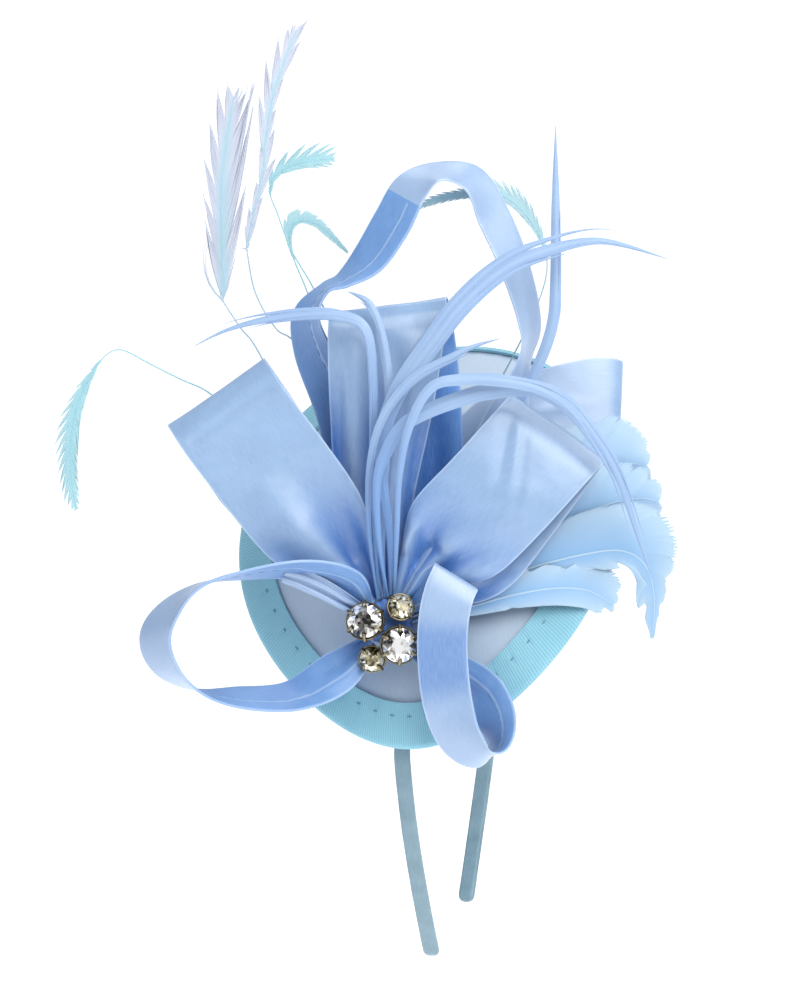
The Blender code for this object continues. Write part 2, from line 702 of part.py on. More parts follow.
def stoneRings(radius, height):
    """Brilliant outline: flat table, crown facets, girdle, pavilion and small culet."""
    levels = [(0.56, 1.0), (1.0, 0.62), (1.0, 0.52), (0.12, 0.0)]
    rings = []
    for k, (size, level) in enumerate(levels):
        shift = 0.5 if k == 0 else 0.0
        rings.append((size * radius, level * height, shift))
    return rings


def makeStone(name, centre, out, radius):
    sides = 12
    height = radius * 2 * stoneHeightShare
    across = trimAcross - out * out.dot(trimAcross)
    across.normalize()
    up = out.cross(across)
    rings = []
    for size, level, shift in stoneRings(radius, height):
        ring = []
        for k in range(sides):
            angle = 2 * math.pi * (k + shift) / sides
            ring.append(
                centre + across * math.cos(angle) * size + up * math.sin(angle) * size + out * level
            )
        rings.append(ring)
    return loftRings(name, rings, "crystal", smooth=False)


def makeSetting(name, centre, out, radius):
    """An open cup round the pavilion with four claws that rise over the girdle."""
    sides = 16
    height = radius * 2 * stoneHeightShare
    across = trimAcross - out * out.dot(trimAcross)
    across.normalize()
    up = out.cross(across)
    inner = radius + clearance
    outer = inner + settingWall
    floor = -clearance - settingWall
    points = []
    clawTop = height * clawShare
    rim = height * cupRimShare
    levels = [
        (0.16 * inner, floor), (0.62 * outer, floor), (outer, height * 0.25), (outer, None),
        (inner, None), (inner, height * 0.4), (0.45 * inner, -clearance),
    ]
    for size, level in levels:
        for k in range(sides):
            angle = 2 * math.pi * (k + 0.5) / sides
            here = level
            if level is None:
                here = clawTop if k % 4 == 0 else rim
            points.append(
                centre + across * math.cos(angle) * size + up * math.sin(angle) * size + out * here
            )
    count = len(levels)
    faces = []
    for j in range(count - 1):
        for k in range(sides):
            n = (k + 1) % sides
            faces.append((j * sides + k, j * sides + n, (j + 1) * sides + n, (j + 1) * sides + k))
    faces.append(tuple(range(sides)))
    last = (count - 1) * sides
    faces.append(tuple(last + k for k in range(sides - 1, -1, -1)))
    return addSolid(name, points, faces, "dark_brass", smooth=False)


# Stones: across, up in stone radii, lift over the knot, turn and tilt from the trimming's out.
stoneTable = {
    "left": (largeStone, -0.0070, 0.0000, 0.0012, -12, 8),
    "right": (largeStone, 0.0036, -0.0073, 0.0012, 6, -6),
    "top": (smallStone, 0.0040, 0.0046, 0.0016, 12, 14),
    "low": (smallStone, -0.0050, -0.0120, -0.0036, -8, -12),
}


def makeStones():
    for name, (size, across, up, lift, turn, tilt) in stoneTable.items():
        out = turned(trimTurn + math.radians(turn), trimTilt + math.radians(tilt))
        centre = trimPoint(across, up, knotHeight + lift + settingWall + clearance)
        makeStone("stone_" + name, centre, out, size / 2)
        makeSetting("setting_" + name, centre, out, size / 2)


clearScene()
makeHeadband()
makeBase()
makeBinding()
makeKnot()
makeRibbon("wide_loop_left", wideLeftRows, wideLeftReach, wideRibbon, 4)
makeRibbon("wide_loop_centre", wideCentreRows, wideCentreReach, wideRibbon, 4)
makeRibbon("wide_loop_right", wideRightRows, wideRightReach, wideRibbon, 4)
makeRibbon("wide_loop_back", wideBackRows, wideBackReach, wideRibbon, 4)
makeRibbon("narrow_loop_left", narrowLeftRows, narrowLeftReach, narrowRibbon, 2, 3)
makeRibbon("narrow_loop_lower", narrowLowerRows, narrowLowerReach, narrowRibbon, 2, 3)
makeRibbon("narrow_loop_top", narrowTopRows, narrowTopReach, narrowRibbon, 2, 3)
for biotName, (biotWidth, biotRows) in biotTable.items():
    makeBiot(biotName, biotRows, biotReach, biotWidth)
for hackleName, hackleRows in hackleTable.items():
    makeFeather(hackleName, hackleRows, hackleReach, hackleStem, 3, 0.8, "feather_pale")
for fanName, fanRows in fanTable.items():
    makeFeather(fanName, fanRows, fanReach, fanStem, 4, 0.5, "feather_pale")
makeStones()
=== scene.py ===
import bisect
import math
import random

import bmesh
import bpy
from mathutils import Matrix, Vector, noise


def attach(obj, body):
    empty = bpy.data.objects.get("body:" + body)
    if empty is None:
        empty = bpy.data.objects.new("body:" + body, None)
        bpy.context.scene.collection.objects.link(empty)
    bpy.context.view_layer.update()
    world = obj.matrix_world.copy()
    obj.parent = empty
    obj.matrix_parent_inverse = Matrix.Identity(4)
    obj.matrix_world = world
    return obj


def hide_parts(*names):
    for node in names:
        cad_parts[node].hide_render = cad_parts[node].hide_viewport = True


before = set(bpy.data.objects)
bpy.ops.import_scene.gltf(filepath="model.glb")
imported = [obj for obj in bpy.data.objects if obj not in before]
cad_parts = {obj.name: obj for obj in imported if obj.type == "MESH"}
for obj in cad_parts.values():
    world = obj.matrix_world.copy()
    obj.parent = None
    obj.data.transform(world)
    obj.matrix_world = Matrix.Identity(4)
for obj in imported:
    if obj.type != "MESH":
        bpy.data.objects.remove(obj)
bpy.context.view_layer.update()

mm = 0.001
dice = random.Random(41)

def turned(angle, lift):
    flat = math.cos(lift)
    return Vector((math.sin(angle) * flat, -math.cos(angle) * flat, math.sin(lift)))


# the camera looks along the trimming's out axis, 12 degrees round and 12.3 degrees up
viewTurn = math.radians(12)
viewTilt = math.radians(12.3)
across = Vector((math.cos(viewTurn), math.sin(viewTurn), 0))
out = turned(viewTurn, viewTilt)
up = out.cross(across)
reach = 100 * mm  # the tables below are in shares of this


def linear(hexColour):
    parts = []
    for k in (1, 3, 5):
        c = int(hexColour[k:k + 2], 16) / 255
        parts.append(c / 12.92 if c <= 0.04045 else ((c + 0.055) / 1.055) ** 2.4)
    return (*parts, 1.0)


def fillNode(tree, node, settings, links):
    # both are keyed by a socket's name or number; any other setting is the node's own
    for key, value in settings.items():
        if isinstance(key, int) or key in node.inputs:
            node.inputs[key].default_value = value
        else:
            setattr(node, key, value)
    for key, source in links.items():
        tree.links.new(source, node.inputs[key])
    return node


def addNode(tree, kind, settings=None, links=None):
    return fillNode(tree, tree.nodes.new(kind), settings or {}, links or {})


def startMaterial(name):
    material = bpy.data.materials.new(name)
    material.use_nodes = True
    tree = material.node_tree
    return material, tree, tree.nodes["Principled BSDF"]


def fadeIn(t):
    t = max(0.0, min(1.0, t))
    return t * t * (3 - 2 * t)


def finish(name, points, faces, materials, replaces=(), smooth=True, indices=None,
           floats=None):
    mesh = bpy.data.meshes.new(name)
    mesh.from_pydata([tuple(p) for p in points], [], faces)
    for material in materials:
        mesh.materials.append(material)
    if indices:
        mesh.polygons.foreach_set("material_index", indices)
    for key, values in (floats or {}).items():
        mesh.attributes.new(key, "FLOAT", "POINT").data.foreach_set("value", values)
    if smooth:
        mesh.shade_smooth()
        mesh.set_sharp_from_angle(angle=math.radians(50))
    mesh.update()
    piece = bpy.data.objects.new(name, mesh)
    bpy.context.scene.collection.objects.link(piece)
    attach(piece, "root")
    if replaces:
        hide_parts(*replaces)
    return piece


def fixNormals(piece):
    work = bmesh.new()
    work.from_mesh(piece.data)
    bmesh.ops.recalc_face_normals(work, faces=work.faces)
    if work.calc_volume(signed=True) < 0:
        bmesh.ops.reverse_faces(work, faces=work.faces)
    work.to_mesh(piece.data)
    work.free()


def ringPoints(centre, first, second, sides, wide, high, shift=0.0):
    turns = [2 * math.pi * (k + shift) / sides for k in range(sides)]
    return [centre + first * (math.cos(a) * wide) + second * (math.sin(a) * high) for a in turns]


def ringFaces(start, rings, sides, flip=False, caps=True):
    # the quads between rings of points that follow one another, and a face at each end
    faces = []
    for r in range(rings - 1):
        low = start + r * sides
        for k in range(sides):
            n = (k + 1) % sides
            faces.append((low + k, low + n, low + sides + n, low + sides + k))
    if caps:
        last = start + (rings - 1) * sides
        faces.append(tuple(range(start + sides - 1, start - 1, -1)))
        faces.append(tuple(range(last, last + sides)))
    return [face[::-1] for face in faces] if flip else faces


def fineRows(rows, steps):
    # a smooth curve through the rows of a table, every column at once
    fine = []
    for k in range(len(rows) - 1):
        before, after = rows[max(k - 1, 0)], rows[min(k + 2, len(rows) - 1)]
        for j in range(steps):
            t = j / steps
            row = []
            for a, b, c, d in zip(before, rows[k], rows[k + 1], after):
                slope, slopeEnd = (c - a) / 2, (d - b) / 2
                row.append(b + slope * t + (3 * (c - b) - 2 * slope - slopeEnd) * t * t
                           + (2 * (b - c) + slope + slopeEnd) * t * t * t)
            fine.append(tuple(row))
    fine.append(tuple(rows[-1]))
    return fine


def waysAlong(path):
    last = len(path) - 1
    return [(path[min(k + 1, last)] - path[max(k - 1, 0)]).normalized() for k in range(last + 1)]


def runAlong(path):
    # how far along the path each of its points lies
    run = [0.0]
    for a, b in zip(path, path[1:]):
        run.append(run[-1] + (b - a).length)
    return run


# fitted so that the projected solids lie on the photo; all in metres but the sensor
cameraPlan = {"distance": 3.0, "fieldHeight": 0.344, "aimAcross": -0.0180, "aimUp": -0.0009,
              "sensorMm": 36, "clipNear": 0.05, "clipFar": 60}


def makeCamera(plan):
    data = bpy.data.cameras.new("photoCamera")
    camera = bpy.data.objects.new("photoCamera", data)
    bpy.context.scene.collection.objects.link(camera)
    place = across * plan["aimAcross"] + up * plan["aimUp"] + out * plan["distance"]
    turn = Matrix((across, up, out)).transposed().to_4x4()
    camera.matrix_world = Matrix.Translation(place) @ turn
    data.sensor_width = plan["sensorMm"]
    data.lens = plan["sensorMm"] * plan["distance"] / plan["fieldHeight"]
    data.clip_start = plan["clipNear"]
    data.clip_end = plan["clipFar"]
    bpy.context.scene.camera = camera


lightPlan = {
    "sky": 0.34,
    "softboxes": [  # name, across, up, out, size, watts, colour
        ("keySoftbox", 0.52, 0.78, 1.15, 1.20, 25.0, "#fffdf8"),
        ("fillSoftbox", -0.95, 0.35, 0.70, 0.70, 3.6, "#f4f8ff"),
        ("topSoftbox", -0.05, 1.15, -0.30, 0.80, 5.0, "#ffffff"),
        ("rimSoftbox", 1.05, 0.95, 0.10, 0.70, 7.0, "#ffffff"),
    ],
    "floorLevel": -0.62,
    "floorSize": 40.0,
    "floorGlow": 0.80,
}


def makeStudio(plan):
    scene = bpy.context.scene
    scene.view_settings.view_transform = "Standard"
    world = bpy.data.worlds.new("softWorld")
    world.use_nodes = True
    fillNode(world.node_tree, world.node_tree.nodes["Background"],
             {"Color": linear("#f7faff"), "Strength": plan["sky"]}, {})
    scene.world = world
    for name, a, u, o, size, watts, colour in plan["softboxes"]:
        light = bpy.data.lights.new(name, "AREA")
        light.size = size
        light.energy = watts
        light.color = linear(colour)[:3]
        lamp = bpy.data.objects.new(name, light)
        lamp.location = across * a + up * u + out * o
        lamp.rotation_euler = (-lamp.location).to_track_quat("-Z", "Y").to_euler()
        scene.collection.objects.link(lamp)
    half = plan["floorSize"] / 2
    corners = [(-half, -half, 0), (half, -half, 0), (half, half, 0), (-half, half, 0)]
    mesh = bpy.data.meshes.new("paperFloor")
    mesh.from_pydata(corners, [], [(0, 1, 2, 3)])
    floor = bpy.data.objects.new("paperFloor", mesh)
    floor.location.z = plan["floorLevel"]
    scene.collection.objects.link(floor)
    # matt white background paper: bright and even, with no gloss
    material, tree, shader = startMaterial("matteWhitePaper")
    fillNode(tree, shader,
             {"Base Color": linear("#f6f7f8"), "Roughness": 0.9, "Emission Color": (1, 1, 1, 1),
              "Emission Strength": plan["floorGlow"]}, {})
    mesh.materials.append(material)


makeCamera(cameraPlan)
makeStudio(lightPlan)
print("camera, light and floor ready")


# Polyester satin, woven and calendered: long floats lie along the ribbon, so it has a soft broad
# gloss, a fine brushed grain and small lights and shades where it is not quite flat.
satinPlan = {
    "threads": (2600, 260, 1),  # real ones are 0.08 mm, too fine: drawn 0.5 mm wide, 2.5 mm long
    "slackScale": 85.0,  # handling marks and slack, 9 to 14 mm across
    "slackDepth": 0.6 * mm, "grainDepth": 0.08 * mm,
    "selvedge": (0.2 * mm, 0.7 * mm), "edgeShare": 0.45,  # the woven edge is denser and paler
    "speck": 0.12,
}


def satinMaterial(name, look):
    look = {**satinPlan, "fold": look["deep"], **look}
    material, tree, shader = startMaterial(name)
    cloth = {key: addNode(tree, "ShaderNodeAttribute", {"attribute_name": key}).outputs["Fac"]
             for key in ("clothAlong", "clothAcross", "edgeGap", "hollow")}
    flat = addNode(tree, "ShaderNodeCombineXYZ", {},
                   {"X": cloth["clothAcross"], "Y": cloth["clothAlong"]}).outputs[0]
    threads = addNode(tree, "ShaderNodeMapping", {"Scale": look["threads"]}, {"Vector": flat})
    grain = addNode(tree, "ShaderNodeTexNoise", {"Scale": 1.0, "Detail": 3.0},
                    {"Vector": threads.outputs[0]}).outputs["Fac"]
    slack = addNode(tree, "ShaderNodeTexNoise", {"Scale": look["slackScale"], "Detail": 2.0},
                    {"Vector": flat}).outputs["Fac"]
    tone = addNode(tree, "ShaderNodeMapRange", {"From Min": 0.3, "From Max": 0.7}, {"Value": slack})
    body = addNode(tree, "ShaderNodeMix",
                   {"data_type": "RGBA", 6: linear(look["deep"]), 7: linear(look["pale"])},
                   {"Factor": tone.outputs[0]})
    # painted shade: the hollow attribute paints the blue fuller, deep between the folds and near
    # the knot, where the light bounces from cloth to cloth
    folded = addNode(tree, "ShaderNodeMix", {"data_type": "RGBA", 7: linear(look["fold"])},
                     {"Factor": cloth["hollow"], 6: body.outputs[2]})
    speck = addNode(tree, "ShaderNodeMapRange",
                    {"From Min": 0.35, "From Max": 0.65, "To Max": look["speck"]}, {"Value": grain})
    grained = addNode(tree, "ShaderNodeMix", {"data_type": "RGBA", 7: linear(look["edge"])},
                      {"Factor": speck.outputs[0], 6: folded.outputs[2]})
    near, far = look["selvedge"]
    edge = addNode(tree, "ShaderNodeMapRange",
                   {"From Min": near, "From Max": far, "To Min": look["edgeShare"], "To Max": 0.0},
                   {"Value": cloth["edgeGap"]})
    edged = addNode(tree, "ShaderNodeMix", {"data_type": "RGBA", 7: linear(look["edge"])},
                    {"Factor": edge.outputs[0], 6: grained.outputs[2]})
    rough = addNode(tree, "ShaderNodeMapRange",
                    {"To Min": look["rough"] - 0.05, "To Max": look["rough"] + 0.07},
                    {"Value": grain})
    slackBump = addNode(tree, "ShaderNodeBump", {"Strength": 0.5, "Distance": look["slackDepth"]},
                        {"Height": slack})
    grainBump = addNode(tree, "ShaderNodeBump", {"Strength": 0.35, "Distance": look["grainDepth"]},
                        {"Height": grain, "Normal": slackBump.outputs[0]})
    fillNode(tree, shader,
             {"IOR": 1.54, "Specular IOR Level": look["gloss"], "Sheen Weight": look["sheen"],
              "Sheen Roughness": 0.4, "Sheen Tint": linear("#dfeaff")},
             {"Base Color": edged.outputs[2], "Roughness": rough.outputs[0],
              "Normal": grainBump.outputs[0]})
    return material


# each satin's fold colour is its painted shade, the fuller blue of the hollows
satinFace = satinMaterial("polyesterSatinFace", {
    "deep": "#7593b8", "pale": "#7d9bc0", "edge": "#b5c9e1", "fold": "#2f69b4",
    "rough": 0.38, "gloss": 1.0, "sheen": 0.5})
satinBack = satinMaterial("polyesterSatinBack", {
    "deep": "#4f84c8", "pale": "#5f92d2", "edge": "#a9c4e8", "fold": "#2f6cba",
    "rough": 0.48, "gloss": 0.5, "sheen": 0.3})
narrowFace = satinMaterial("foldedSatinFace", {
    "deep": "#809abe", "pale": "#89a3c5", "edge": "#b9cbe4", "fold": "#4f78b2",
    "rough": 0.36, "gloss": 0.9, "sheen": 0.4, "slackScale": 60.0})
narrowBack = satinMaterial("foldedSatinBack", {
    "deep": "#5580b8", "pale": "#5f8ac0", "edge": "#b0c6e4", "fold": "#3569b0",
    "rough": 0.45, "gloss": 0.5, "sheen": 0.3, "slackScale": 60.0})


# the sizes that part.py gives the band and the base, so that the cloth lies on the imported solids
bandShape = {"width": 5.6 * mm, "thickness": 2.3 * mm, "innerWidth": 126 * mm, "crown": 75 * mm,
             "leg": 73.5 * mm, "tipSpan": 75 * mm, "tipLength": 3 * mm,
             "twist": math.radians(-2.7), "tipTwist": math.radians(4.9)}
baseShape = {"length": 152 * mm, "width": 129 * mm, "cloth": 2 * mm, "lengthRadius": 115 * mm,
             "acrossRadius": 150 * mm, "point": 0.16, "pointPower": 2.2, "shoulder": 0.03,
             "turn": math.radians(-8), "roll": math.radians(-7), "seatAngle": math.radians(10.5),
             "seatDrop": 68.5 * mm, "seatClear": 0.9 * mm, "seatSide": 1 * mm,
             "binding": 12 * mm, "bindingCloth": 1 * mm, "gap": 0.3 * mm}
halfSpan = bandShape["innerWidth"] / 2 + bandShape["thickness"] / 2


def bandPoint(angle):
    rise = bandShape["crown"] + bandShape["thickness"] / 2
    return Vector((0, -halfSpan * math.cos(angle), -bandShape["crown"] + rise * math.sin(angle)))


baseTilt = baseShape["seatAngle"] + math.atan(baseShape["seatDrop"] / baseShape["lengthRadius"])
baseOut = turned(baseShape["turn"], baseTilt)
plumbUp = turned(baseShape["turn"], baseTilt - math.pi / 2) * -1
plumbSide = plumbUp.cross(baseOut)
baseUp = plumbUp * math.cos(baseShape["roll"]) + plumbSide * math.sin(baseShape["roll"])
baseSide = baseUp.cross(baseOut)


def domeOffset(a, u, lift):
    acrossRadius, lengthRadius = baseShape["acrossRadius"], baseShape["lengthRadius"]
    slope = baseOut + baseSide * (a / acrossRadius) + baseUp * (u / lengthRadius)
    fall = a**2 / (2 * acrossRadius) + u**2 / (2 * lengthRadius)
    return baseSide * a + baseUp * u - baseOut * fall + slope.normalized() * lift


seat = bandPoint(baseShape["seatAngle"])
seat += turned(0, baseShape["seatAngle"]) * (bandShape["thickness"] / 2)
seat.x += baseShape["seatSide"]
seatStack = baseShape["bindingCloth"] + baseShape["gap"] + baseShape["seatClear"]
baseApex = seat - domeOffset(0, -baseShape["seatDrop"], -seatStack)


def outline(angle):
    a, u = math.cos(angle), math.sin(angle)
    narrow = 1 - baseShape["point"] * max(0.0, -u) ** baseShape["pointPower"]
    full = 1 + baseShape["shoulder"] * max(0.0, u) * abs(a)
    return Vector((a * narrow * full * baseShape["width"] / 2, u * baseShape["length"] / 2))


def dome(angle, inset, lift):
    rim = outline(angle)
    flat = rim * ((rim.length - inset) / rim.length)
    return baseApex + domeOffset(flat.x, flat.y, lift)


knotSpot = (-7.5 * mm, -39 * mm)  # where the knot stands on the base
knotFoot = baseApex + domeOffset(*knotSpot, baseShape["cloth"])


def trimPoint(a, u, o):
    return knotFoot + across * a + up * u + out * o


# A springy strip wrapped in bias satin: the wrap is smooth outside, with one lapped edge inside.
bandWrap = {"sides": 24, "legSteps": 44, "crownSteps": 110, "squareWide": 0.55, "squareThick": 0.8,
            "pucker": 0.02, "puckerScale": 160, "lap": 0.12 * mm,
            "tips": [(0.0, 0.30), (0.12, 0.62), (0.35, 0.86), (0.65, 0.97), (1.0, 1.0)]}


def makeHeadband(shape, wrap):
    lean = halfSpan - shape["tipSpan"] / 2
    legs = [k / wrap["legSteps"] for k in range(1, wrap["legSteps"] + 1)]
    falls = [-shape["crown"] - shape["leg"] * s for s in legs]
    farLeg = [Vector((0, halfSpan - lean * s**2, fall)) for s, fall in zip(legs, falls)]
    nearLeg = [Vector((0, -point.y, point.z)) for point in farLeg]
    crown = [bandPoint(math.pi * k / wrap["crownSteps"]) for k in range(wrap["crownSteps"] + 1)]
    path = nearLeg[::-1] + crown + farLeg
    sides = wrap["sides"]
    points, alongs = [], []
    for k, (point, way, travelled) in enumerate(zip(path, waysAlong(path), runAlong(path))):
        drop = max(0.0, (-shape["crown"] - point.z) / shape["leg"])
        twist = shape["twist"] + shape["tipTwist"] * drop
        side = Vector((math.cos(twist), math.sin(twist), 0))
        place = Vector((-point.y * math.sin(twist), point.y * math.cos(twist), point.z))
        wayHere = Vector((-way.y * math.sin(twist), way.y * math.cos(twist), way.z))
        facing = side.cross(wayHere).normalized()
        stations = [(0.0, 1.0)]
        if k == 0:
            stations = [(-shape["tipLength"] * (1 - s), w) for s, w in wrap["tips"]]
        if k == len(path) - 1:
            stations = [(shape["tipLength"] * (1 - s), w) for s, w in reversed(wrap["tips"])]
        for shift, size in stations:
            for j in range(sides):
                # a rounded strip: a superellipse with soft corners
                a = 2 * math.pi * j / sides
                x = math.copysign(abs(math.cos(a)) ** wrap["squareWide"], math.cos(a)) / 2
                y = math.copysign(abs(math.sin(a)) ** wrap["squareThick"], math.sin(a)) / 2
                bump = noise.noise(Vector((travelled * wrap["puckerScale"], j * 0.7, 0)))
                wide = x * shape["width"] * size * (1 + wrap["pucker"] * bump)
                lap = wrap["lap"] if y < -0.3 and x > 0.06 else 0.0
                points.append(place + wayHere * shift + side * wide
                              + facing * (y * shape["thickness"] * size - lap))
            alongs += [travelled + shift] * sides
    count = len(points) // sides
    turns = [2 * math.pi * j / sides for j in range(sides)]
    acrosses = [math.cos(a) * shape["width"] / 2 for a in turns] * count
    floats = {"clothAlong": alongs, "clothAcross": acrosses, "edgeGap": [0.01] * len(points)}
    return finish("headband_satin_wrap", points, ringFaces(0, count, sides, flip=True), [bandSatin],
                  replaces=["headband"], floats=floats)


bandSatin = satinMaterial("wrappedBandSatin", {
    "deep": "#617e8d", "pale": "#708d9c", "edge": "#92abb8",
    "rough": 0.42, "gloss": 0.6, "sheen": 0.3, "slackScale": 140.0})
makeHeadband(bandShape, bandWrap)
print("headband ready")


# Satin stretched over a stiff buckram dome: almost flat, with faint strain lines to the rim.
coverPlan = {"sectors": 160, "rings": 44, "strain": 0.10 * mm, "strainLines": 61,
             "slack": 0.12 * mm, "slackScale": 45, "flat": (0.135, 0.158)}


def makeBaseCover(plan):
    sectors, rings = plan["sectors"], plan["rings"]
    points, alongs, acrosses = [], [], []
    for side, lift in ((1, baseShape["cloth"]), (-1, 0.0)):
        for r in range(rings):
            share = 1 - r / rings
            for k in range(sectors):
                angle = 2 * math.pi * k / sectors
                rim = outline(angle) * share
                ripple = math.sin(angle * plan["strainLines"] + 2 * math.sin(angle * 5))
                dents = Vector((rim.x * plan["slackScale"], rim.y * plan["slackScale"], side))
                swell = plan["strain"] * share**5 * ripple + plan["slack"] * noise.noise(dents)
                height = lift + side * swell if r else lift
                points.append(baseApex + domeOffset(rim.x, rim.y, height))
                acrosses.append(rim.x)
                alongs.append(rim.y)
        points.append(baseApex + domeOffset(0, 0, lift))
        acrosses.append(0.0)
        alongs.append(0.0)
    half = len(points) // 2
    faces = []
    for start, flip in ((0, False), (half, True)):
        faces += ringFaces(start, rings, sectors, flip, caps=False)
        last = start + (rings - 1) * sectors
        for k in range(sectors):
            tri = (last + k, last + (k + 1) % sectors, start + half - 1)
            faces.append(tri[::-1] if flip else tri)
    for k in range(sectors):
        n = (k + 1) % sectors
        faces.append((k, half + k, half + n, n))
    floats = {"clothAlong": alongs, "clothAcross": acrosses, "edgeGap": [0.01] * len(points)}
    piece = finish("base_satin_cover", points, faces, [coverSatin], replaces=["base"],
                   floats=floats)
    return piece


coverSatin = satinMaterial("stretchedCoverSatin", {
    "deep": "#97abc2", "pale": "#a2b6cb", "edge": "#b8c9d9",
    "rough": 0.42, "gloss": 0.7, "sheen": 0.35, "slackScale": 40.0, "speck": 0.2})
makeBaseCover(coverPlan)
print("base cover ready")


# Polyester grosgrain: corded across, so it is matt and ribbed, with a row of small stitches.
bindingPlan = {"ribs": 430, "ribDepth": 0.11 * mm, "ripple": 0.25 * mm, "dimple": 0.28 * mm,
               "stitchInset": 8.0 * mm, "stitches": 52, "sink": 0.12 * mm, "hem": 0.5 * mm,
               "narrowFront": 1.6 * mm, "narrowFrom": math.radians(52),
               "narrowTo": math.radians(136), "narrowEase": math.radians(9),
               "flat": (0.0275, 0.430)}


def grosgrainMaterial():
    material, tree, shader = startMaterial("polyesterGrosgrain")
    rib = addNode(tree, "ShaderNodeAttribute", {"attribute_name": "ribRise"})
    place = addNode(tree, "ShaderNodeTexCoord").outputs["Object"]
    mottle = addNode(tree, "ShaderNodeTexNoise", {"Scale": 60.0, "Detail": 3.0}, {"Vector": place})
    # warp threads crossing each rib, 0.3 mm, drawn coarser than real so that they show
    threads = addNode(tree, "ShaderNodeTexNoise", {"Scale": 2600.0, "Detail": 1.0},
                      {"Vector": place})
    tone = addNode(tree, "ShaderNodeMix",
                   {"data_type": "RGBA", 6: linear("#74aabf"), 7: linear("#93c6d6")},
                   {"Factor": mottle.outputs["Fac"]})
    # painted shade: the furrows between the ribs are painted darker, towards #578da6, and the
    # hidden inner faces half as dark
    ribFurrowShade = addNode(tree, "ShaderNodeMapRange", {"To Min": 0.55, "To Max": 0.0},
                      {"Value": rib.outputs["Fac"]})
    ribbed = addNode(tree, "ShaderNodeMix", {"data_type": "RGBA", 7: linear("#578da6")},
                     {"Factor": ribFurrowShade.outputs[0], 6: tone.outputs[2]})
    bump = addNode(tree, "ShaderNodeBump", {"Strength": 0.4, "Distance": 0.1 * mm},
                   {"Height": threads.outputs["Fac"]})
    fillNode(tree, shader, {"Roughness": 0.68, "Specular IOR Level": 0.35, "Sheen Weight": 0.3,
                            "Sheen Tint": linear("#d4f1fa")},
             {"Base Color": ribbed.outputs[2], "Normal": bump.outputs[0]})
    return material


def frontShare(plan, angle):
    # along the top rim the ribbon is folded further back, and only a thin line shows in front
    ease = plan["narrowEase"]
    opening = fadeIn((angle - plan["narrowFrom"]) / ease + 0.5)
    window = opening * fadeIn((plan["narrowTo"] - angle) / ease + 0.5)
    return 1 - window * (1 - plan["narrowFront"] / baseShape["binding"])


def makeBinding(plan):
    top, width, inner, hem = baseShape["cloth"], baseShape["binding"], baseShape["gap"], plan["hem"]
    outer = inner + baseShape["bindingCloth"]
    # from the inner face's edge, round the rim, to the outer face's edge: inset, lift, rib share
    profile = [(width, -outer + 0.2 * mm, 0.2)]
    profile += [(width - (width - hem) * k / 8, -outer, 1.0) for k in range(1, 9)]
    for k in range(1, 8):
        a = math.pi * k / 8
        lift = top / 2 - (top / 2 + outer) * math.cos(a)
        profile.append((hem - (outer + hem) * math.sin(a), lift, 1.0))
    profile += [(hem + (width - hem) * k / 10, top + outer, 1.0) for k in range(11)]
    profile.append((width, top + inner + 0.05 * mm, 0.0))
    profile += [(width * (1 - k / 4), top + inner, 0.0) for k in range(1, 4)]
    profile += [(-inner, top + inner, 0.0), (-inner, -inner, 0.0)]
    profile += [(width * k / 4, -inner, 0.0) for k in range(1, 5)]
    sectors, count = plan["ribs"] * 3, len(profile)
    points, rises = [], []
    for k in range(sectors):
        angle = 2 * math.pi * k / sectors
        rise = (1.0, 0.75, 0.0)[k % 3]
        stitchWave = math.cos(angle * plan["stitches"])
        share = frontShare(plan, angle)
        for inset, lift, ribShare in profile:
            shift = plan["ribDepth"] * (rise - 0.6) * ribShare
            if lift > top / 2:
                inset *= share if inset > 0 else 1
                near = math.exp(-((inset - plan["stitchInset"]) / (1.5 * mm)) ** 2)
                if ribShare > 0.5:
                    shift -= plan["dimple"] * near * max(0.0, stitchWave) ** 4
                if ribShare > 0:
                    lip = fadeIn((inset - 9 * mm) / (3 * mm))
                    shift += plan["ripple"] * lip * (0.5 - 0.5 * stitchWave)
            else:
                shift = -shift
            points.append(dome(angle, inset, lift + shift))
            # the rib rise marks the furrows that get painted shade; the inner faces take the middle
            # value
            rises.append(rise if ribShare > 0.5 else 0.5)
    faces = []
    for k in range(sectors):
        n = (k + 1) % sectors
        for j in range(count):
            m = (j + 1) % count
            faces.append((k * count + j, n * count + j, n * count + m, k * count + m))
    piece = finish("base_grosgrain_binding", points, faces, [grosgrain], replaces=["base_binding"],
                   floats={"ribRise": rises})
    return piece


# sewing stitches; the stations are shares of a stitch's length and of its thickness
bindingStitch = {"length": 1.7 * mm, "wide": 0.55 * mm, "high": 0.55 * mm, "stations": [
    (-0.5, 0.25), (-0.4, 0.7), (-0.2, 1.0), (0.2, 1.0), (0.4, 0.7), (0.5, 0.25)]}
seamStitch = {"length": 2.4 * mm, "wide": 0.52 * mm, "high": 0.44 * mm, "stations": [
    (-0.5, 0.3), (-0.35, 0.9), (0.35, 0.9), (0.5, 0.3)]}


def addStitch(points, faces, middle, way, side, facing, plan):
    faces += ringFaces(len(points), len(plan["stations"]), 6)
    for share, size in plan["stations"]:
        points += ringPoints(middle + way * (share * plan["length"]), side, facing, 6,
                             plan["wide"] / 2 * size, plan["high"] / 2 * size)


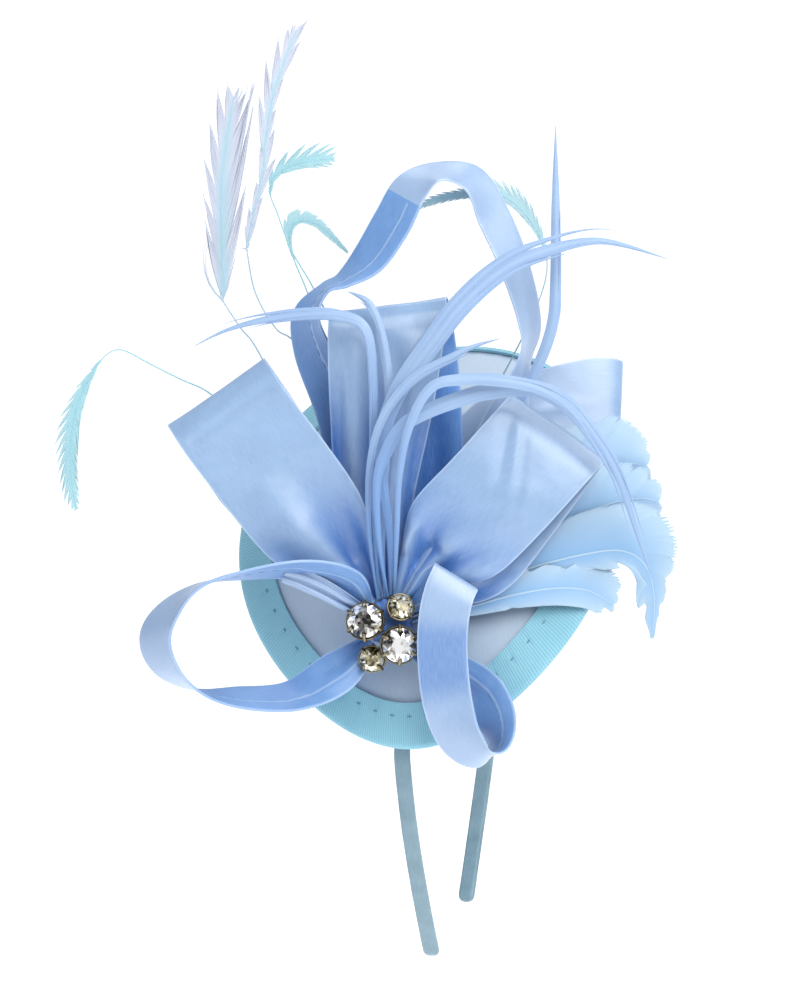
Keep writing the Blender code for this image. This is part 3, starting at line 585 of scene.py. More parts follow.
def makeBindingStitches(plan, stitch):
    points, faces = [], []
    lift = baseShape["cloth"] + baseShape["gap"] + baseShape["bindingCloth"]
    for k in range(plan["stitches"]):
        angle = 2 * math.pi * k / plan["stitches"]
        if frontShare(plan, angle) < 0.99:
            continue
        middle = dome(angle, plan["stitchInset"], lift - plan["sink"])
        ahead = dome(angle + 0.01, plan["stitchInset"], lift - plan["sink"])
        outward = dome(angle, plan["stitchInset"], lift + 1 * mm)
        way = (ahead - middle).normalized()
        facing = (outward - middle).normalized()
        addStitch(points, faces, middle, way, facing.cross(way), facing, stitch)
    return finish("binding_stitches", points, faces, [threadTeal])


def threadMaterial(name, colour):
    # polyester sewing thread, twisted: dull, a little darker than the cloth it sinks into
    material, tree, shader = startMaterial(name)
    place = addNode(tree, "ShaderNodeTexCoord").outputs["Object"]
    twist = addNode(tree, "ShaderNodeTexNoise", {"Scale": 1800.0}, {"Vector": place})
    tone = addNode(tree, "ShaderNodeMix",
                   {"data_type": "RGBA", 6: linear(colour), 7: linear("#7fa6c0")},
                   {"Factor": twist.outputs["Fac"]})
    fillNode(tree, shader, {"Roughness": 0.8}, {"Base Color": tone.outputs[2]})
    return material


grosgrain = grosgrainMaterial()
threadTeal = threadMaterial("polyesterThreadTeal", "#2b6076")
threadBlue = threadMaterial("polyesterThreadBlue", "#4a6fa8")
makeBinding(bindingPlan)
makeBindingStitches(bindingPlan, bindingStitch)
print("binding ready")


# Every loop is one flat ribbon. Across it the height is built up from how steeply it lies at each
# point, so that gathering it into pleats keeps the width that was woven.
def pleatSwing(gather):
    # the steepest lie of the pleats that draws the ribbon in to this share of its width
    return 2.05 * math.sqrt(max(0.0, 1 - gather)) * (1 - 0.08 * (1 - gather))


def creaseHeight(creases, x, alongHere, alongAt, width):
    height = 0.0
    for x0, v0, x1, v1, depth, spread in creases:
        ax, ay = x0 * width, alongAt(v0)
        dx, dy = x1 * width - ax, alongAt(v1) - ay
        px, py = x * width - ax, alongHere - ay
        t = max(0.0, min(1.0, (px * dx + py * dy) / (dx * dx + dy * dy)))
        distance = math.hypot(px - t * dx, py - t * dy)
        if distance < spread * 3:
            ends = fadeIn(4 * t + 0.15) * fadeIn(4 * (1 - t) + 0.15)
            height += depth * math.exp(-((distance / spread) ** 2)) * ends
    return height


def sectionOf(spec, gather):
    # the pleated line across the ribbon, as sideways places and heights
    columns, width = spec["columns"], spec["width"]
    swing = pleatSwing(gather)
    step = width / columns
    xs, zs = [0.0], [0.0]
    for c in range(columns):
        x = (c + 0.5) / columns - 0.5
        heading = swing * math.sin(2 * math.pi * (spec["pleats"] * x + spec["phase"]))
        xs.append(xs[-1] + step * math.cos(heading))
        zs.append(zs[-1] + step * math.sin(heading))
    span = xs[-1]
    slope = (zs[-1] - zs[0]) / span
    zs = [z - slope * x for x, z in zip(xs, zs)]
    xs = [(x - span / 2) * (width * gather / span) for x in xs]
    middle = sum(zs) / len(zs)
    zs = [z - middle for z in zs]
    tallest = max(abs(z) for z in zs)
    if tallest > spec["pleatLimit"]:
        zs = [z * spec["pleatLimit"] / tallest for z in zs]
    return xs, [z + spec["cup"] * (2 * x / width) ** 2 for x, z in zip(xs, zs)]


def layOf(row, way):
    # the ribbon's directions at a row of its table: across its width, and out of its face
    spin, tip = math.radians(row[3]), math.radians(row[4])
    flat = across * math.cos(spin) + up * math.sin(spin)
    side = flat * math.cos(tip) + out * math.sin(tip)
    facing = side.cross(way).normalized()
    lay = (side + way.cross(facing).normalized()).normalized()
    return lay, lay.cross(way).normalized()


# painted shade, as the hollow attribute: the blue is painted fullest near the knot, most on the low
# sides of the pleats and creases, and where a spec's shade says
hollowShadePlan = {"middle": 0.72, "swing": 0.55, "least": 0.2, "shadeEase": 0.8, "knotTop": 13 * mm}
neverPlain = 99  # past the last row of any table


def makeRibbon(name, spec, faceCloth, backCloth, replaced):
    fine = fineRows(spec["rows"], spec["steps"])
    centres = [trimPoint(row[0] * reach, row[1] * reach, row[2] * reach) for row in fine]
    ways, travelled = waysAlong(centres), runAlong(centres)

    def alongAt(v):
        k = v * spec["steps"]
        low = max(0, min(int(k), len(travelled) - 2))
        return travelled[low] + (travelled[low + 1] - travelled[low]) * (k - low)

    columns, half, width = spec["columns"], spec["cloth"] / 2, spec["width"]
    seam = spec.get("seam")
    plainFrom = seam.get("plainFrom", neverPlain) if seam else 0
    shadeFrom, shadeTo, shadeShare = spec.get("shade", (0, 0, 0))
    points, alongs, acrosses, gaps, hollows = [], [], [], [], []
    knotTop = trimPoint(0, 0, hollowShadePlan["knotTop"])
    for k, (centre, way, row) in enumerate(zip(centres, ways, fine)):
        lay, facing = layOf(row, way)
        v = k / spec["steps"]
        xs, zs = sectionOf(spec, min(1.0, row[5]))
        ends = min(1.0, k / 4, (len(fine) - 1 - k) / 4)
        # painted shade: the blue is painted fuller close to the knot and in the spec's shade band
        fromKnot = (centre - knotTop).length - spec["hollowFrom"]
        nearKnot = 1 - fadeIn(fromKnot / spec["hollowReach"])
        ease = hollowShadePlan["shadeEase"]
        shade = shadeShare * fadeIn((v - shadeFrom) / ease) * (1 - fadeIn((v - shadeTo) / ease))
        line, creases = [], []
        for c in range(columns + 1):
            x = c / columns - 0.5
            crease = creaseHeight(spec.get("creases", ()), x, travelled[k], alongAt, width)
            creases.append(crease)
            place = Vector((x * width * 70, travelled[k] * 55, spec["seed"]))
            line.append((xs[c], zs[c] + crease + spec["wobble"] * noise.noise(place) * ends))
        front, back = [], []
        for c, (px, pz) in enumerate(line):
            x = c / columns - 0.5
            left, right = line[max(c - 1, 0)], line[min(c + 1, columns)]
            dx, dz = right[0] - left[0], right[1] - left[1]
            size = math.hypot(dx, dz) or 1.0
            nx, nz = -dz / size, dx / size
            thin = half * (0.55 if c in (0, columns) else 1.0)
            thick = thin
            if seam and v < plainFrom:
                thick += seam["rise"] * fadeIn((x - seam["at"]) / 0.05 + 0.5)
            front.append(centre + lay * (px + nx * thick) + facing * (pz + nz * thick))
            back.append(centre + lay * (px - nx * thin) + facing * (pz - nz * thin))
        points += front + back[::-1]
        for layer, order in ((1, range(columns + 1)), (-1, range(columns, -1, -1))):
            for c in order:
                x = c / columns - 0.5
                gap = (0.5 - abs(x)) * width
                if seam and layer > 0 and v < plainFrom:
                    gap = min(gap, abs(x - seam["at"]) * width)
                alongs.append(travelled[k])
                acrosses.append(x * width)
                gaps.append(gap)
                # painted shade: how much fuller the blue is painted at this point of the cloth
                rise = layer * (zs[c] + 0.6 * creases[c]) / spec["pleatLimit"]
                depth = min(1.0, hollowShadePlan["middle"] - hollowShadePlan["swing"] * rise)
                hollows.append(min(1.0, shade + nearKnot * max(hollowShadePlan["least"], depth)))
    ring = 2 * (columns + 1)
    faces = ringFaces(0, len(fine), ring, caps=False)
    indices = []
    for k in range(len(fine) - 1):
        for c in range(ring):
            isFront = c <= columns or c == ring - 1
            plain = seam and (not isFront or k / spec["steps"] >= plainFrom)
            indices.append(0 if plain or (isFront and not seam) else 1)
    # the cut ends are closed with small quads across the cloth's thickness
    for k, flip in ((0, False), (len(fine) - 1, True)):
        for c in range(columns):
            near, far = k * ring + c, k * ring + ring - 1 - c
            quad = (near, far, far - 1, near + 1)
            faces.append(quad[::-1] if flip else quad)
            indices.append(1)
    floats = {"clothAlong": alongs, "clothAcross": acrosses, "edgeGap": gaps, "hollow": hollows}
    piece = finish(name, points, faces, [faceCloth, backCloth], replaces=replaced,
                   indices=indices, floats=floats)
    fixNormals(piece)
    print(name, "ribbon", round(travelled[-1] * 1000), "mm long")
    return centres, ways, travelled, fine


def makeSeamStitches(name, centres, ways, travelled, fine, spec, stitch):
    # running stitches that close the folded ribbon along its inner side, one every 3.6 mm
    seam = spec["seam"]
    points, faces = [], []
    due = seam["from"]
    last = (seam.get("plainFrom", neverPlain) - 0.3) * spec["steps"]
    for k in range(1, len(centres) - 1):
        if travelled[k] < due or travelled[k] > travelled[-1] - seam["from"] or k > last:
            continue
        due = travelled[k] + seam["every"]
        lay, facing = layOf(fine[k], ways[k])
        sideways = (seam["at"] - 0.035) * spec["width"] * fine[k][5]
        middle = centres[k] + lay * sideways + facing * (spec["cloth"] / 2 + seam["rise"] * 0.3)
        addStitch(points, faces, middle, ways[k], lay, -facing, stitch)
    piece = finish(name, points, faces, [threadBlue])
    fixNormals(piece)
    return piece


wideRibbon = {"width": 39.5 * mm, "cloth": 0.55 * mm, "columns": 40, "steps": 12, "cup": 0.0,
              "wobble": 0.25 * mm, "hollowFrom": 22 * mm, "hollowReach": 40 * mm}
narrowRibbon = {"width": 16.8 * mm, "cloth": 0.85 * mm, "columns": 18, "steps": 12, "pleats": 1.5,
                "phase": 0.25, "pleatLimit": 0.7 * mm, "wobble": 0.15 * mm, "cup": 0.1 * mm,
                "hollowFrom": 8 * mm, "hollowReach": 16 * mm}
seamPlan = {"at": 3 / 18, "rise": 0.28 * mm, "every": 3.6 * mm, "from": 22 * mm}
# rows: across, up, out in shares of the reach; spin and tip in degrees; the share of the width left
# creases: from and to, each as a share of the width and a row, then the depth and the spread
wideLeft = {
    **wideRibbon, "pleats": 1.5, "phase": 0.70, "pleatLimit": 2.4 * mm, "seed": 3.1,
    "cup": 0.3 * mm,
    "creases": [
        (-0.55, 4.20, 0.55, 4.32, -0.55 * mm, 1.7 * mm),
        (0.10, 0.9, 0.20, 2.2, -0.8 * mm, 7.0 * mm),
    ],
    "rows": [
        (-0.050, 0.068, 0.144, 37, 0, 0.20), (-0.130, 0.178, 0.174, 35, 0, 0.52),
        (-0.235, 0.310, 0.215, 35, 0, 0.92),
        (-0.380, 0.500, 0.245, 35, 0, 1.00), (-0.505, 0.665, 0.258, 34, 0, 1.00),
        (-0.560, 0.748, 0.215, 35, 0, 1.00),
        (-0.570, 0.764, 0.168, 35, 0, 1.00), (-0.538, 0.718, 0.138, 35, 0, 1.00),
        (-0.400, 0.520, 0.156, 35, 0, 1.00),
        (-0.240, 0.310, 0.148, 35, 0, 0.84), (-0.130, 0.176, 0.108, 35, 0, 0.46),
        (-0.050, 0.068, 0.102, 37, 0, 0.20),
    ],
}
wideCentre = {
    **wideRibbon, "pleats": 2.0, "phase": 0.05, "pleatLimit": 1.5 * mm, "seed": 7.4,
    "hollowFrom": 54 * mm, "hollowReach": 36 * mm,
    "creases": [
        (-0.34, 0.8, -0.40, 3.6, -0.8 * mm, 2.0 * mm),
        (0.02, 0.8, -0.10, 3.2, 0.5 * mm, 2.2 * mm),
        (0.30, 1.0, 0.20, 3.4, -0.7 * mm, 1.8 * mm),
    ],
    "rows": [
        (0.000, 0.084, 0.100, 0, 0, 0.20), (-0.015, 0.220, 0.112, 3, 0, 0.42),
        (-0.040, 0.420, 0.136, 5, 0, 0.66),
        (-0.020, 0.720, 0.148, 6, 0, 0.88), (-0.004, 0.970, 0.155, 7, 0, 1.00),
        (0.000, 1.045, 0.125, 7, 0, 1.00),
        (0.003, 1.052, 0.092, 7, 0, 1.00), (0.022, 0.985, 0.062, 6, 0, 1.00),
        (0.054, 0.720, 0.055, 3, 0, 0.98),
        (0.074, 0.420, 0.036, 0, 0, 0.82), (0.010, 0.220, 0.042, 0, 0, 0.38),
        (0.000, 0.084, 0.080, 0, 0, 0.20),
    ],
}
wideRight = {
    **wideRibbon, "width": 38.5 * mm, "pleats": 2.5, "phase": 0.55, "pleatLimit": 1.5 * mm,
    "wobble": 0.35 * mm, "seed": 11.9, "cup": -0.5 * mm,
    "creases": [
        (-0.40, 4.45, -0.02, 3.05, -0.8 * mm, 2.6 * mm),
        (-0.28, 4.65, 0.30, 2.75, -0.45 * mm, 1.3 * mm),
        (-0.34, 4.60, 0.12, 2.95, 0.5 * mm, 3.0 * mm),
        (0.15, 1.6, 0.22, 3.6, 0.6 * mm, 4.5 * mm),
        (-0.20, 0.9, -0.06, 1.75, -3.2 * mm, 3.4 * mm),
        (-0.47, 1.0, -0.38, 1.9, 1.6 * mm, 2.0 * mm),
    ],
    "rows": [
        (0.056, 0.064, 0.146, -38, 0, 0.22), (0.125, 0.168, 0.172, -38, 0, 0.52),
        (0.222, 0.276, 0.230, -36, 0, 0.95),
        (0.365, 0.424, 0.285, -35, 0, 1.00), (0.500, 0.574, 0.280, -35, 0, 1.00),
        (0.560, 0.640, 0.240, -35, 0, 1.00),
        (0.568, 0.650, 0.205, -35, 0, 1.00), (0.536, 0.602, 0.180, -35, 4, 1.00),
        (0.412, 0.424, 0.172, -36, 8, 1.00),
        (0.264, 0.236, 0.168, -38, 8, 0.97), (0.150, 0.140, 0.146, -40, 4, 0.62),
        (0.056, 0.064, 0.126, -38, 0, 0.22),
    ],
}
wideBack = {
    **wideRibbon, "columns": 36, "steps": 10, "pleats": 2.5, "phase": 0.2, "pleatLimit": 0.8 * mm,
    "wobble": 0.3 * mm, "seed": 17.2,
    "creases": [(-0.30, 2.2, -0.10, 4.2, 0.5 * mm, 2.6 * mm),
    (0.20, 2.0, 0.30, 4.0, -0.5 * mm, 2.6 * mm)],
    "rows": [
        (0.034, 0.078, 0.046, -24, 0, 0.16), (0.120, 0.230, 0.028, -27, 8, 0.50),
        (0.260, 0.440, 0.028, -38, 10, 0.85),
        (0.460, 0.615, 0.000, -58, 8, 1.00), (0.690, 0.690, -0.020, -84, 10, 1.00),
        (0.778, 0.685, -0.050, -92, 12, 1.00),
        (0.752, 0.672, -0.090, -90, 12, 1.00), (0.610, 0.640, -0.080, -80, 16, 1.00),
        (0.440, 0.560, -0.040, -56, 16, 1.00),
        (0.260, 0.420, -0.012, -38, 14, 0.80), (0.120, 0.230, 0.006, -27, 8, 0.45),
        (0.034, 0.078, 0.026, -24, 0, 0.16),
    ],
}
narrowLeft = {
    **narrowRibbon, "seed": 23.5, "seam": seamPlan,
    "rows": [
        (-0.070, 0.045, 0.162, 52, 10, 0.30), (-0.134, 0.132, 0.214, 62, 42, 0.80),
        (-0.295, 0.174, 0.265, 88, 66, 1.00),
        (-0.480, 0.158, 0.270, 98, 80, 1.00), (-0.630, 0.122, 0.260, 115, 95, 1.00),
        (-0.738, 0.030, 0.240, 150, 118, 1.00),
        (-0.778, -0.062, 0.220, 180, 128, 1.00), (-0.742, -0.155, 0.205, 215, 118, 1.00),
        (-0.645, -0.226, 0.190, 246, 92, 1.00),
        (-0.513, -0.252, 0.175, 266, 68, 1.00), (-0.328, -0.250, 0.155, 280, 54, 1.00),
        (-0.178, -0.176, 0.130, 302, 25, 0.95),
        (-0.090, -0.100, 0.112, 315, 5, 0.55), (-0.058, -0.062, 0.108, 315, 0, 0.30),
    ],
}
narrowLower = {
    **narrowRibbon, "seed": 29.3, "seam": seamPlan,
    "shade": (5.9, 7.5, 0.85),
    "rows": [
        (0.066, 0.052, 0.163, -38, 0, 0.30), (0.110, 0.078, 0.180, -35, 0, 0.55),
        (0.180, 0.118, 0.200, -31, 0, 0.98),
        (0.222, 0.148, 0.220, -31, 0, 1.00), (0.226, 0.146, 0.245, -31, 0, 1.00),
        (0.206, 0.100, 0.262, -24, 0, 1.00),
        (0.188, 0.020, 0.264, -8, 0, 1.00), (0.182, -0.100, 0.262, 4, 0, 1.00),
        (0.198, -0.260, 0.256, 20, 10, 1.00),
        (0.240, -0.385, 0.245, 42, 32, 1.00), (0.312, -0.452, 0.224, 78, 62, 1.00),
        (0.364, -0.424, 0.206, 135, 108, 1.00),
        (0.364, -0.336, 0.200, 190, 142, 1.00), (0.318, -0.246, 0.178, 218, 160, 1.00),
        (0.220, -0.172, 0.142, 232, 172, 0.85),
        (0.125, -0.110, 0.118, 230, 180, 0.50), (0.064, -0.060, 0.112, 227, 180, 0.28),
    ],
}
narrowTop = {
    **narrowRibbon, "seed": 31.8, "seam": {**seamPlan, "plainFrom": 9.6},
    "rows": [
        (-0.022, 0.081, 0.056, 10, 0, 0.30), (-0.060, 0.240, 0.022, 10, 0, 0.80),
        (-0.110, 0.440, -0.015, 10, 5, 0.95),
        (-0.160, 0.700, -0.040, 10, 14, 1.00), (-0.248, 0.905, -0.018, 0, 36, 1.00),
        (-0.268, 1.030, 0.048, -15, 58, 1.00),
        (-0.211, 1.115, 0.080, -40, 76, 1.00), (-0.144, 1.149, 0.100, -50, 68, 1.00),
        (-0.060, 1.220, 0.110, -42, 45, 1.00),
        (0.017, 1.340, 0.110, -34, 38, 1.00), (0.078, 1.452, 0.100, -45, 45, 1.00),
        (0.170, 1.508, 0.080, -85, 66, 1.00),
        (0.288, 1.480, 0.060, -118, 55, 1.00), (0.355, 1.357, 0.050, -148, 48, 1.00),
        (0.420, 1.206, 0.050, -155, 52, 1.00),
        (0.474, 1.005, 0.060, -178, 62, 1.00), (0.455, 0.865, 0.075, -193, 74, 1.00),
        (0.370, 0.620, 0.085, -205, 22, 0.95),
        (0.215, 0.310, 0.088, -212, 0, 0.62), (0.060, 0.060, 0.070, -222, 0, 0.24),
    ],
}

leftTail = {  # the gathered end of the left loop, drawn in beneath its upper strip
    **narrowRibbon, "width": 13 * mm, "cloth": 0.55 * mm, "steps": 10, "pleats": 2.0, "phase": 0.2,
    "pleatLimit": 0.8 * mm, "wobble": 0.1 * mm, "seed": 37.1, "cup": 0.0,
    "rows": [
        (-0.062, 0.022, 0.150, 55, 5, 0.28), (-0.130, 0.060, 0.188, 55, 12, 0.42),
        (-0.205, 0.104, 0.218, 57, 20, 0.52), (-0.285, 0.142, 0.238, 62, 30, 0.58),
        (-0.345, 0.160, 0.248, 70, 40, 0.50),
    ],
}

for loopName, loopSpec, innerCloth in (("left", wideLeft, satinBack),
("centre", wideCentre, satinBack),
                                       ("right", wideRight, satinFace),
                                       ("back", wideBack, satinFace)):
    loopName = "wide_loop_" + loopName
    makeRibbon(loopName + "_satin", loopSpec, satinFace, innerCloth, [loopName])
makeRibbon("narrow_loop_left_tail", leftTail, narrowFace, narrowFace, [])
for loopName, loopSpec in (("left", narrowLeft), ("lower", narrowLower), ("top", narrowTop)):
    loopName = "narrow_loop_" + loopName
    made = makeRibbon(loopName + "_satin", loopSpec, narrowFace, narrowBack, [loopName])
    makeSeamStitches(loopName + "_stitches", *made, loopSpec, seamStitch)
print("ribbon loops ready")


# The ribbon ends are drawn together and bound with thread under the stones.
knotPlan = {"radius": 8 * mm, "height": 17.2 * mm, "folds": 13, "foldDepth": 0.09, "gap": 0.3 * mm,
            "sides": 104, "levels": 26, "waist": 0.10, "waistAt": 0.55, "waistSpread": 0.16,
            "crownFrom": 0.9, "crown": 0.22}


def makeKnot(plan):
    normal = (domeOffset(*knotSpot, 1.0) - domeOffset(*knotSpot, 0.0)).normalized()
    lean = out.dot(normal)
    sides, levels = plan["sides"], plan["levels"]
    points = []
    for r in range(levels + 1):
        level = r / levels
        size = 1 - plan["waist"] * math.exp(-((level - plan["waistAt"]) / plan["waistSpread"]) ** 2)
        over = max(0.0, level - plan["crownFrom"]) / (1 - plan["crownFrom"])
        size *= plan["radius"] * (1 - plan["crown"] * over**2)
        for k in range(sides):
            a = 2 * math.pi * k / sides
            pleat = 0.5 + 0.5 * math.cos(plan["folds"] * a + 1.6 * math.sin(3 * a) + level * 0.8)
            flat = size * (1 - plan["foldDepth"] * pleat)
            point = trimPoint(math.cos(a) * flat, math.sin(a) * flat, plan["height"] * level)
            if r == 0:
                point -= out * (((point - knotFoot).dot(normal) - plan["gap"]) / lean)
            points.append(point)
    floats = {"clothAlong": [p.z for p in points], "clothAcross": [p.x for p in points],
              "edgeGap": [0.01] * len(points)}
    piece = finish("gathered_knot_satin", points, ringFaces(0, levels + 1, sides), [knotSatinShaded],
                   replaces=["trim_knot"], floats=floats)
    fixNormals(piece)


# painted shade: a deeper blue copy of the loops' satin, for the shade under the stones and between
# the loops
knotSatinShaded = satinMaterial("gatheredKnotSatinShaded", {
    "deep": "#3f6cb4", "pale": "#5580c4", "edge": "#8facd8",
    "rough": 0.5, "gloss": 0.4, "sheen": 0.2})
makeKnot(knotPlan)
print("knot ready")


# dyed feather: keratin barbs, dull and soft, deeper blue at the root and paler at the thin tips
featherPlan = {"fadeFrom": 0.1, "fadeTo": 1.0, "stripes": 0.45, "rough": 0.6, "stripeNoiseScale": 90.0}


def featherMaterial(name, look):
    look = {**featherPlan, **look}
    material, tree, shader = startMaterial(name)
    tip = addNode(tree, "ShaderNodeAttribute", {"attribute_name": "tipShare"})
    stripe = addNode(tree, "ShaderNodeAttribute", {"attribute_name": "barbToneAndShade"})
    place = addNode(tree, "ShaderNodeTexCoord").outputs["Object"]
    stripeNoise = addNode(tree, "ShaderNodeTexNoise", {"Scale": look["stripeNoiseScale"], "Detail": 2.0},
                  {"Vector": place})
    fade = addNode(tree, "ShaderNodeMapRange",
                   {"From Min": look["fadeFrom"], "From Max": look["fadeTo"]},
                   {"Value": tip.outputs["Fac"]})
    body = addNode(tree, "ShaderNodeMix",
                   {"data_type": "RGBA", 6: linear(look["root"]), 7: linear(look["tip"])},
                   {"Factor": fade.outputs[0]})
    # The barb stripes darken towards the groove colour, broken up at random by the stripe noise. On
    # the biots this is painted shade in the grooves between the ridges, and narrower strands get
    # more of it; on the hackles and fans it is a darker tone that differs at random from barb to
    # barb.
    mix = addNode(tree, "ShaderNodeMath", {"operation": "MULTIPLY"},
                  {0: stripe.outputs["Fac"], 1: stripeNoise.outputs["Fac"]})
    darker = addNode(tree, "ShaderNodeMapRange",
                     {"From Min": 0.1, "From Max": 0.6, "To Max": look["stripes"]},
                     {"Value": mix.outputs[0]})
    striped = addNode(tree, "ShaderNodeMix", {"data_type": "RGBA", 7: linear(look["groove"])},
                      {"Factor": darker.outputs[0], 6: body.outputs[2]})
    fillNode(tree, shader,
             {"Roughness": look["rough"], "Specular IOR Level": 0.4, "Sheen Weight": 0.15,
              "Sheen Tint": linear("#f2f8ff")}, {"Base Color": striped.outputs[2]})
    return material


quillBlue = featherMaterial("dyedGooseBiot", {
    "root": "#6389bd", "tip": "#8ea7c8", "groove": "#5b80b6",
    "fadeFrom": 0.05, "fadeTo": 0.45, "rough": 0.42, "stripes": 0.42})
hackleAqua = featherMaterial("dyedHackleAqua", {
    "root": "#8db9c4", "tip": "#a8c8cf", "groove": "#7fabb9"})
# painted light: a paler copy of the aqua dye, for hackle_behind where it lies in the top loop's
# shadow
hackleAquaPaintedLight = featherMaterial("dyedHackleAquaPaintedLight", {
    "root": "#9fc4ce", "tip": "#b8d2d8", "groove": "#92b9c6"})
hacklePale = featherMaterial("dyedHacklePale", {
    "root": "#8fb7c4", "tip": "#b7bbcb", "groove": "#97abc0", "fadeFrom": 0.05, "fadeTo": 0.42})
fanBlue = featherMaterial("dyedCoqueFan", {
    "root": "#6c9bca", "tip": "#a6bed2", "groove": "#79a4ca", "fadeTo": 0.95, "stripes": 0.3})


def newStore():
    return {"points": [], "faces": [], "tipShare": [], "barbToneAndShade": []}


def closeStore(store, name, material, replaced):
    floats = {"tipShare": store["tipShare"], "barbToneAndShade": store["barbToneAndShade"]}
    piece = finish(name, store["points"], store["faces"], [material], replaces=replaced,
                   floats=floats)
    fixNormals(piece)
    return piece


def spineOf(rows, steps):
    fine = fineRows(rows, steps)
    centres = [trimPoint(r[0] * reach, r[1] * reach, r[2] * reach) for r in fine]
    ways = waysAlong(centres)
    sides = [way.cross(out).normalized() for way in ways]
    facings = [side.cross(way).normalized() for side, way in zip(sides, ways)]
    return fine, centres, ways, sides, facings


# the section of a biot: its hollow back, and a face that is thick in the middle with ridges on it
bladePlan = {"thick": 0.5 * mm, "ridges": 2, "hollow": 0.15, "edge": 0.12, "middle": 0.45,
             "ridge": 0.07, "fullWidth": 1.2 * mm, "thinnest": 0.10 * mm, "tipTaper": 0.28}


def addBlade(store, path, widths, tips, tone, plan):
    # a thin grooved strip that tapers to a point
    ridges = plan["ridges"]
    columns = 4 * ridges
    store["faces"] += ringFaces(len(store["points"]), len(path), 2 * (columns + 1))
    for centre, way, wide, tip in zip(path, waysAlong(path), widths, tips):
        side = way.cross(out).normalized()
        facing = side.cross(way).normalized()
        thick = plan["thick"] * min(1, wide / plan["fullWidth"])
        for layer, order in ((1, range(columns + 1)), (-1, range(columns, -1, -1))):
            for c in order:
                x = c / columns - 0.5
                bow = (2 * x) ** 2
                wave = 0.5 + 0.5 * math.cos(2 * math.pi * ridges * x + math.pi * ridges)
                full = plan["edge"] + plan["middle"] * (1 - bow) + plan["ridge"] * wave
                height = layer * thick * full - plan["hollow"] * bow * wide
                store["points"].append(centre + side * (x * wide) + facing * height)
                store["tipShare"].append(tip)
                # painted shade: the grooves between the ridges get a higher stripe value, so they
                # are painted darker
                store["barbToneAndShade"].append(tone + 0.35 * (1 - wave))


# Goose biots: stiff single barbs, each a curved grooved blade; most are two or three together.
# Each strand: start offset, end offset, lift (mm), where it ends along the feather, width share.
biotPlan = {
    "biot_short": {"widest": 3.4 * mm, "strands": [(0, 0, 0, 1.0, 0.95),
    (0.5, -1.6, -0.5, 0.9, 0.5)]},
    "biot_left": {"widest": 4.0 * mm, "strands": [(0, 0, 0, 1.0, 0.9), (0.6, 2.4, -0.5, 0.9, 0.5),
    (-0.5, -1.6, 0.4, 0.82, 0.45)]},
    "biot_right": {"widest": 5.6 * mm, "strands": [
        (0.1, 0.2, 0, 1.0, 0.80), (-1.1, -4.0, -0.4, 0.93, 0.62), (1.2, 2.8, -0.5, 0.86, 0.60)]},
    "biot_upper": {"widest": 3.4 * mm, "strands": [(0, 0, 0, 1.0, 0.9),
    (0.5, 1.7, -0.4, 0.8, 0.5)]},
    "biot_fall": {"widest": 4.8 * mm, "strands": [
        (0, 0, 0, 1.0, 0.85), (-0.9, -1.8, -0.5, 0.95, 0.65), (0.9, 2.2, -0.6, 0.92, 0.65)]},
    "biot_fall_low": {"widest": 4.0 * mm, "strands": [(0, 0, 0, 1.0, 0.9),
    (-0.5, -2.4, -0.5, 0.93, 0.5)]},
    "biot_upright": {"widest": 4.4 * mm, "strands": [(0, 0, 0, 1.0, 0.9),
    (0.4, 1.5, -0.5, 0.85, 0.5)]},
}
